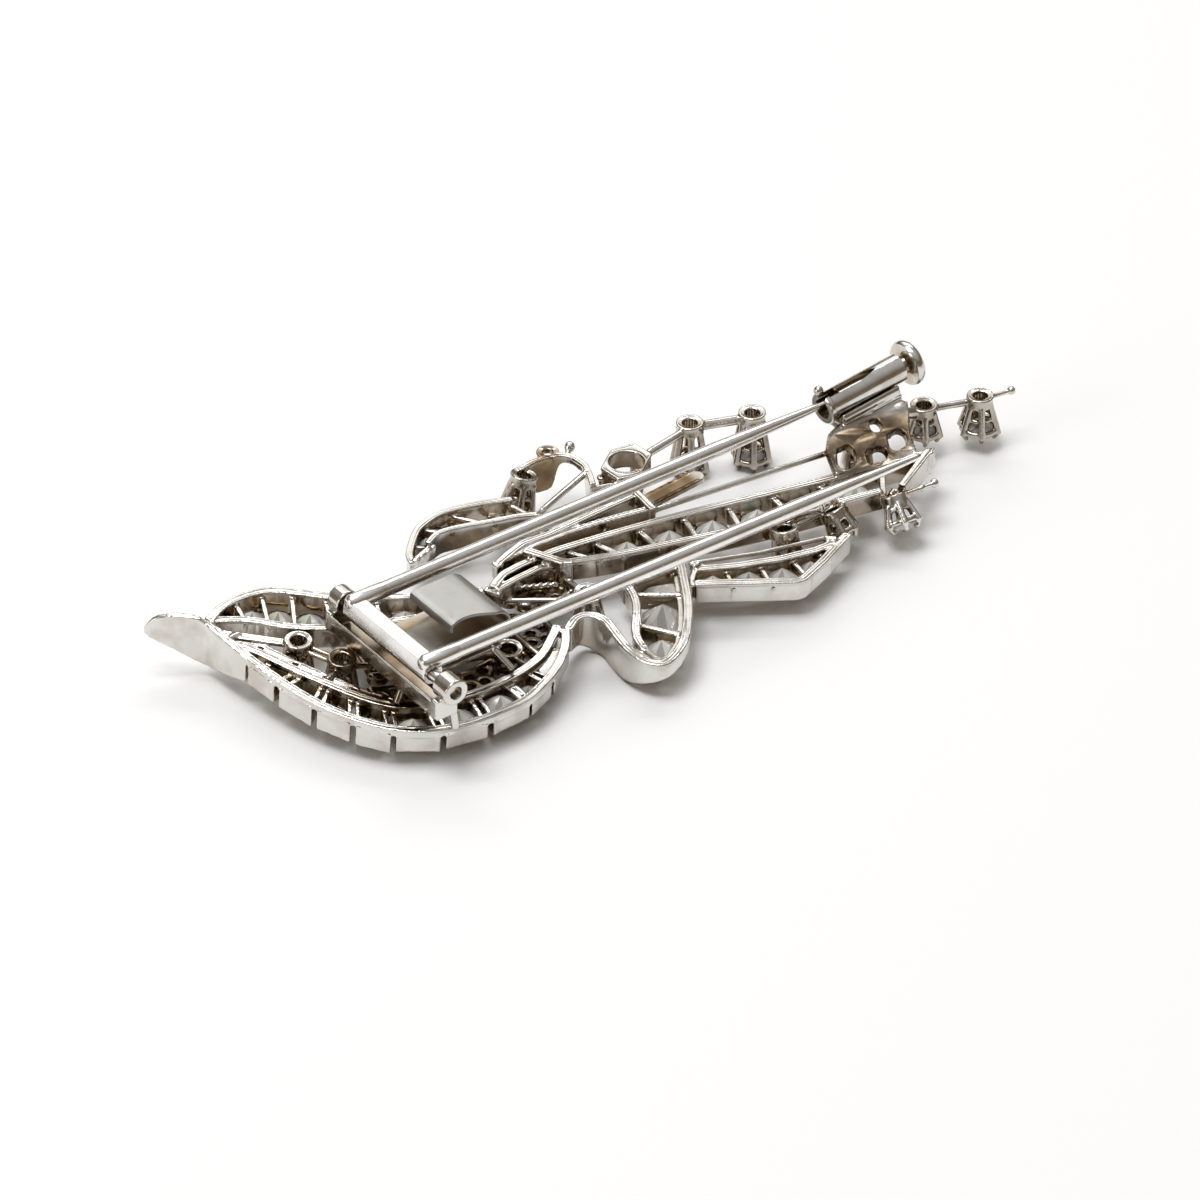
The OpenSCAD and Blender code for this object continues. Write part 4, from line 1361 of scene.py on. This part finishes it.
@dataclass
class Catch:
    """Slit tube and the sliding barrel with its knob, in millimetres from the mouth."""

    finish: bpy.types.Material
    mouth: Vector = field(default_factory=lambda: Vector((20.2, 2.15, 6.85)))
    rise: float = 5.0
    turn: float = 1.5
    tube_r: float = 1.2
    bore: float = 0.82
    long: float = 7.8
    slot: float = 0.86
    barrel_r: float = 0.78
    barrel_bore: float = 0.55
    barrel_back: float = 1.75
    barrel_deep: float = 3
    knob_r: float = 1.9
    knob_gap: float = 0.5
    lip: float = 0.15
    ball_r: float = 0.4
    slices: int = 36

    def place(self) -> Matrix:
        """Placement with its x axis along the tube.

        Returns:
            The placement in the brooch's frame.
        """
        turn = Matrix.Rotation(math.radians(self.turn), 4, "Z")
        tilt = Matrix.Rotation(math.radians(-self.rise), 4, "Y")
        return Matrix.Translation(self.mouth) @ turn @ tilt

    def section(self, x: float, outer: float, open_w: float) -> list[Vector]:
        """Section of the slit tube.

        Args:
            x: Distance from the mouth.
            outer: Outer radius there.
            open_w: Width of the slot there.

        Returns:
            Corners round the outside and back round the inside.
        """
        corners = []
        for radius, flip in ((outer, 1), (self.bore, -1)):
            start = math.asin(open_w / 2 / radius)
            sweep = math.tau - 2 * start
            turns = [start + sweep * k / self.slices for k in range(self.slices + 1)]
            for a in turns[::flip]:
                corners.append(Vector((x, radius * math.sin(a), radius * math.cos(a))))
        return corners

    def tube(self) -> bpy.types.Object:
        """Builds the slit tube with its lip and its ball.

        Returns:
            The piece that stands for the catch tube.
        """
        bm = bmesh.new()
        tube, lip = self.tube_r, self.tube_r + self.lip
        rows = (
            (0, lip - 0.1, 1.12),
            (0.08, lip, 1.04),
            (0.38, lip, 1),
            (0.52, tube, 1),
            (3.6, tube, 1),
            (4.6, tube, 0.62),
            (5.2, tube, 0.28),
            (5.6, tube, 0.02),
            (5.8, tube, 0.01),
            (self.long - 0.08, tube, 0.01),
            (self.long, tube - 0.08, 0.01),
        )
        grow(bm, [self.section(x, radius, self.slot * share) for x, radius, share in rows])
        ball = Matrix.Translation((0.3, self.slot / 2 + 0.3, self.tube_r + 0.05))
        bmesh.ops.create_icosphere(bm, subdivisions=3, radius=self.ball_r, matrix=ball)
        return self.piece(bm, "catch_tube_polished", "catch_tube", Body.BROOCH)

    def slider(self) -> bpy.types.Object:
        """Turns the barrel and its rounded knob.

        Returns:
            The piece that stands for the slider.
        """
        bm = bmesh.new()
        back, neck, rim = self.barrel_back, self.long + self.knob_gap, self.knob_r
        inner, outer = self.barrel_bore, self.barrel_r
        profile = [
            (0, back + self.barrel_deep),
            (inner, back + self.barrel_deep),
            (inner, back + 0.05),
            (inner + 0.05, back),
            (outer - 0.04, back),
            (outer, back + 0.06),
            (outer, neck - 0.05),
            (outer + 0.08, neck),
            (rim - 0.35, neck + 0.02),
            (rim - 0.12, neck + 0.1),
            (rim - 0.02, neck + 0.27),
            (rim, neck + 0.45),
            (rim - 0.03, neck + 0.64),
            (rim - 0.14, neck + 0.82),
            (rim - 0.34, neck + 0.95),
            (rim - 0.62, neck + 1.0),
            (rim - 0.9, neck + 1.06),
            (0.6, neck + 1.17),
            (0, neck + 1.2),
        ]
        lathe(bm, profile, Matrix.Rotation(math.radians(90), 4, "Y"))
        return self.piece(bm, "catch_slider_polished", "catch_slider", Body.SLIDER)

    def piece(self, bm: bmesh.types.BMesh, name: str, node: str, body: Body) -> bpy.types.Object:
        """Places a finished part of the catch.

        Args:
            bm: The part, in millimetres from the mouth. It is freed.
            name: Name of the piece.
            node: The CAD node that it replaces.
            body: The body that it rides on.

        Returns:
            The piece.
        """
        bmesh.ops.transform(bm, matrix=self.place(), verts=bm.verts)
        obj = polished(piece_from(to_metres(bm), name, self.finish, True))
        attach(obj, body.value)
        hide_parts(node)
        return obj


@dataclass
class SpringLeaf:
    """Bent leaf spring behind the crossbar, in millimetres."""

    finish: bpy.types.Material
    sheet: float = 0.26
    edge: float = 0.07
    top: float = 7.86
    low: float = 5.44
    lip_x: float = -20.6
    bend_x: float = -17.0
    end_x: float = -23.0
    near_y: float = -5.2
    bend_y: float = -5.9
    far_y: float = 0.2
    end_y: tuple[float, float] = (-4.9, -1.3)

    def stations(self) -> list[tuple[float, float, float, float]]:
        """Stations along the sheet, from its lip round the bend to its free end.

        Returns:
            For each station x, z, and the y of the near and of the far edge.
        """
        lip, top, near = self.lip_x, self.top, self.near_y
        curl = [(0, 0.6), (-0.02, 0.25), (0.06, 0.06), (0.24, 0)]
        rows = [(lip + out, top - down, near, self.far_y) for out, down in curl]
        for k in range(1, 7):
            x = lip + (self.bend_x - lip) * k / 6
            y = near + 0.55 * math.sin(math.radians(k * 30)) - 0.12 * k
            rows.append((x, top, y, self.far_y))
        half, middle = (self.top - self.low) / 2, (self.top + self.low) / 2
        for k in range(1, 9):
            a = math.radians(90 - k * 22.5)
            x, z = self.bend_x + half * math.cos(a), middle + half * math.sin(a)
            rows.append((x, z, self.bend_y, self.far_y))
        rows.append((self.end_x, self.low, *self.end_y))
        return rows

    def section(self, middle: Vector, normal: Vector, near: float, far: float) -> list[Vector]:
        """Section of the sheet at a station, with bevelled edges.

        Args:
            middle: Middle of the sheet's thickness there, at y = 0.
            normal: Half the sheet's thickness, square to the sheet.
            near: Place of the near edge.
            far: Place of the far edge.

        Returns:
            Corners of the section.
        """
        soft, edge = 0.4, self.edge
        upper = [(near, soft), (near + edge, 1), (far - edge, 1), (far, soft)]
        corners = upper + [(y, -h) for y, h in reversed(upper)]
        return [middle + normal * h + Vector((0, y, 0)) for y, h in corners]

    def build(self) -> bpy.types.Object:
        """Draws the sheet through its stations.

        Returns:
            The piece that stands for the leaf spring.
        """
        rows = self.stations()
        sections = []
        for i, (x, z, near, far) in enumerate(rows):
            a, b = rows[max(i - 1, 0)], rows[min(i + 1, len(rows) - 1)]
            normal = Vector((-(b[1] - a[1]), 0, b[0] - a[0])).normalized() * self.sheet / 2
            sections.append(self.section(Vector((x, 0, z)), normal, near, far))
        bm = bmesh.new()
        grow(bm, sections)
        obj = polished(piece_from(to_metres(bm), "leaf_spring_polished", self.finish, True))
        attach(obj, Body.BROOCH.value)
        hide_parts("leaf_spring")
        return obj


@dataclass
class Studio:
    """Pale floor, soft boxes and the camera."""

    turn: float = -36.5
    tilt: float = 36.0
    distance: float = 0.52
    target: tuple[float, float, float] = (-0.0074, -0.0059, 0.005)
    lens: float = 205.92
    floor_side: float = 6.0
    floor_shade: tuple[float, float, float] = (0.93, 0.93, 0.93)
    floor_rough: float = 0.6
    room: tuple[tuple[float, tuple[float, float, float]], ...] = (
        (0.0, (0.20, 0.155, 0.10)),
        (0.4, (0.16, 0.125, 0.085)),
        (1.0, (0.55, 0.56, 0.58)),
    )
    lamps: tuple[tuple[str, tuple[float, float, float], tuple[float, float], float], ...] = (
        ("back_box", (0.385, 0.52, 0.47), (0.8, 0.36), 0.9),
        ("back_strip", (0.3, 0.42, 0.62), (0.7, 0.09), 0.9),
        ("top_box", (-0.16, 0.1, 0.8), (0.4, 0.4), 3.9),
        ("left_box", (-0.72, 0.12, 0.26), (0.3, 0.3), 1.0),
    )

    def camera(self) -> None:
        """Puts the camera at the picture's angle."""
        a, e = math.radians(self.turn), math.radians(self.tilt)
        back = Vector((math.sin(a) * math.cos(e), -math.cos(a) * math.cos(e), math.sin(e)))
        right = Vector((math.cos(a), math.sin(a), 0))
        data = bpy.data.cameras.new("camera")
        data.sensor_width = 36
        data.lens = self.lens
        data.clip_start = 0.01
        data.clip_end = 50
        obj = bpy.data.objects.new("camera", data)
        place = Matrix((right, back.cross(right), back)).transposed().to_4x4()
        place.translation = Vector(self.target) + self.distance * back
        obj.matrix_world = place
        bpy.context.scene.collection.objects.link(obj)
        bpy.context.scene.camera = obj

    def floor(self) -> None:
        """Lays the plain pale floor."""
        bm = bmesh.new()
        bmesh.ops.create_grid(bm, x_segments=1, y_segments=1, size=self.floor_side / 2)
        g = Graph("pale_floor")
        out = g.add("ShaderNodeOutputMaterial")
        shader = g.add("ShaderNodeBsdfPrincipled")
        shader.inputs["Base Color"].default_value = (*self.floor_shade, 1)
        shader.inputs["Roughness"].default_value = self.floor_rough
        g.link(shader.outputs["BSDF"], out.inputs["Surface"])
        obj = piece_from(bm, "floor", g.material, False)

    def light(self, name: str, at: Sequence[float], side: Sequence[float], watts: float) -> None:
        """Hangs a soft box that faces the brooch.

        Args:
            name: Name of the lamp.
            at: Its place in metres.
            side: Its width and height in metres.
            watts: Its power.
        """
        data = bpy.data.lights.new(name, "AREA")
        data.shape = "RECTANGLE"
        data.size, data.size_y = side
        data.energy = watts
        obj = bpy.data.objects.new(name, data)
        obj.location = at
        obj.rotation_euler = Vector(at).to_track_quat("Z", "Y").to_euler()
        bpy.context.scene.collection.objects.link(obj)

    def world(self) -> None:
        """Fills the room with soft light, darker near the horizon."""
        world = bpy.data.worlds.new("room")
        world.use_nodes = True
        tree = world.node_tree
        tree.nodes.clear()
        out = tree.nodes.new("ShaderNodeOutputWorld")
        sky = tree.nodes.new("ShaderNodeBackground")
        where = tree.nodes.new("ShaderNodeTexCoord")
        split = tree.nodes.new("ShaderNodeSeparateXYZ")
        ramp = tree.nodes.new("ShaderNodeValToRGB")
        stops = ramp.color_ramp.elements
        stops.new(0.5)
        for stop, (position, shade) in zip(stops, self.room):
            stop.position, stop.color = position, (*shade, 1)
        tree.links.new(where.outputs["Generated"], split.inputs["Vector"])
        tree.links.new(split.outputs["Z"], ramp.inputs["Fac"])
        tree.links.new(ramp.outputs["Color"], sky.inputs["Color"])
        sky.inputs["Strength"].default_value = 1.0
        tree.links.new(sky.outputs["Background"], out.inputs["Surface"])
        bpy.context.scene.world = world

    def build(self) -> None:
        """Sets the whole studio."""
        bpy.context.scene.view_settings.view_transform = "Standard"
        self.camera()
        self.floor()
        self.world()
        for lamp in self.lamps:
            self.light(*lamp)


@dataclass
class Brooch:
    """The whole brooch: soldered frame, pins, catch and stones."""

    metal: bpy.types.Material
    wire: bpy.types.Material
    sheet: bpy.types.Material
    stone: bpy.types.Material
    catch: bpy.types.Material
    leaf_tilt: float = 5.0
    leaf_at: tuple[float, float, float] = (0.6, -9.9, 3.2)
    leaf_drop: tuple[float, float, float] = (0, 10, 0)
    stand_at: tuple[float, float, float] = (0.6, -2.7, 4.05)
    stand_tilt: float = 15.0
    stand_turn: float = 54.0
    stand_rise: float = 0.3
    saddle_out: float = 0.07
    saddle_ends: tuple[float, float] = (0.95, 6.65)

    def sections(self) -> list[Soldered]:
        """Lists the soldered sections of the frame.

        Returns:
            The sections, not yet built.
        """
        tilt = math.radians(self.leaf_tilt)
        leaf_up = Vector((0, -math.sin(tilt), math.cos(tilt)))
        rope = (Vector((-11.5, 1.3, 3.6)), Vector((-7.6, -0.75, 3.6)))
        sprays = [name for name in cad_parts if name.startswith("spray_stone")]
        far_sprays = tuple(name for name in sprays if name.rsplit("_", 1)[1] in ("1", "2", "3"))
        others = (*far_sprays, "spray_stone_11")
        stem_sprays = tuple(name for name in sprays if name not in others)
        return [
            Soldered(
                "leaf_setting",
                self.metal,
                up=leaf_up,
                bead=0.11,
                fields=("leaf_near_stones", "leaf_far_stones"),
                cups=("vein_stones",),
                webs=self.leaf_webs(tilt),
            ),
            Soldered(
                "near_loop",
                self.metal,
                bead=0.17,
                fields=("loop_stones", "lower_stones"),
                ledges=(points(LOOP_LEDGE, 2.95), points(LOWER_LEDGE, 2.75)),
            ),
            Soldered(
                "stem_setting",
                self.metal,
                fields=("stem_stones",),
                cups=stem_sprays,
                ropes=(rope,),
                webs=(points(STEM_WEB, 2.8, WEB_FALL),),
                openings=self.stand_openings(),
                fillets=(self.saddle(),),
            ),
            Soldered("far_loop", self.metal, fields=("far_loop_stones",), cups=far_sprays),
            Soldered(
                "hinge_base", self.metal, bead=0, fused=Fused(voxel_mm=0.075, triangles=70000)
            ),
        ]

    def leaf_webs(self, tilt: float) -> tuple[tuple[Vector, ...], ...]:
        """Corners of the thin sheets inside the leaf, in the brooch's frame.

        Args:
            tilt: The leaf's tilt in radians.

        Returns:
            The upper corners of each sheet.
        """
        plane = Matrix.Translation(self.leaf_at) @ Matrix.Rotation(tilt, 4, "X")
        place = plane @ Matrix.Translation(self.leaf_drop)
        return tuple(
            tuple(place @ corner for corner in points(web, z, WEB_FALL)) for z, web in LEAF_WEBS
        )

    def saddle(self) -> tuple[tuple[Vector, ...], ...]:
        """Sections of the solder that fills the groove between the catch tube and its seat.

        Returns:
            The section at each end of the fillet.
        """
        catch = Catch(self.catch)
        reach = catch.tube_r + self.saddle_out
        turns = [math.radians(270 - 14 * k) for k in range(6)]
        hollow = [(reach * math.cos(a), reach * math.sin(a)) for a in turns]
        edge = [(-1.42, -0.4), (-1.58, -0.75), (-1.6, -1.5), (0, -1.5)]
        return tuple(
            tuple(catch.place() @ Vector((x, y, z)) for y, z in hollow + edge)
            for x in self.saddle_ends
        )

    def stand_openings(self) -> tuple[Matrix, ...]:
        """Placements of the openings through the sheet under the catch.

        Returns:
            One placement for each opening.
        """
        tilt = Matrix.Rotation(math.radians(self.stand_tilt), 4, "X")
        turn = Matrix.Rotation(math.radians(self.stand_turn), 4, "Z")
        sheet = Matrix.Translation(self.stand_at) @ tilt
        placements = []
        for x, up, half_long, half_wide in STAND_OPENINGS:
            middle = sheet @ Matrix.Translation((x, up, self.stand_rise))
            placements.append(middle @ turn @ Matrix.Diagonal((half_long, half_wide, 1, 1)))
        return tuple(placements)

    def build(self) -> list[bpy.types.Object]:
        """Builds each piece.

        Returns:
            The pieces.
        """
        pieces = [section.build() for section in self.sections()]
        catch = Catch(self.catch)
        pieces += [PinPair(self.wire).build(), catch.tube(), catch.slider()]
        pieces.append(SpringLeaf(self.sheet).build())
        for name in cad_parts:
            if "stone" in name:
                pieces.append(StoneField(name, self.stone, GROWTH.get(name, SNUG)).build())
        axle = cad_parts["hinge_axle"]
        axle.data.materials.clear()
        axle.data.materials.append(self.wire)
        return [*pieces, axle]


def main() -> None:
    """Builds the studio and the brooch, and logs the faces of each piece."""
    logging.basicConfig(level=logging.INFO, format="%(name)s: %(message)s")
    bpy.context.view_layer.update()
    Studio().build()
    # The frame's metal takes painted shade at the listed depths, wall patches and near-black spots
    metal = PolishedGold(shaded_depths=DEPTHS, wall_shade=WALL_SHADE, black_shade=BLACK_SHADE, walls=WALLS).build()
    # The wire's colours are lighter than the frame's: painted light that whitens the crossbar's
    # top, with lighter painted shade in its hollows
    wire = PolishedGold(
        name="drawn_wire_lightened",
        bright=(0.93, 0.92, 0.90),
        dull=(0.84, 0.82, 0.79),
        rough=(0.17, 0.30),
        hollow=(0.42, 0.38, 0.33),
        tan=(0.6, 0.57, 0.52),
        streaks=(90.0, 2200.0, 2200.0),
        bump=0.18,
    ).build()
    # The spring's colours are darker than the frame's: painted shade for the darker reflection of
    # its top
    sheet = PolishedGold(
        name="spring_sheet_darkened",
        bright=(0.42, 0.415, 0.395),
        dull=(0.35, 0.34, 0.32),
        rough=(0.34, 0.46),
        streaks=(260.0, 1600.0, 260.0),
    ).build()
    # The catch's metal has lighter painted shade in its hollows than the frame's
    catch = PolishedGold(
        name="catch_gold",
        hollow=(0.4, 0.31, 0.2),
        brown=(0.46, 0.38, 0.28),
    ).build()
    for piece in Brooch(metal, wire, sheet, CutStone().build(), catch).build():
        log.info("%s: %d faces", piece.name, len(piece.data.polygons))


if __name__ == "__main__":
    main()
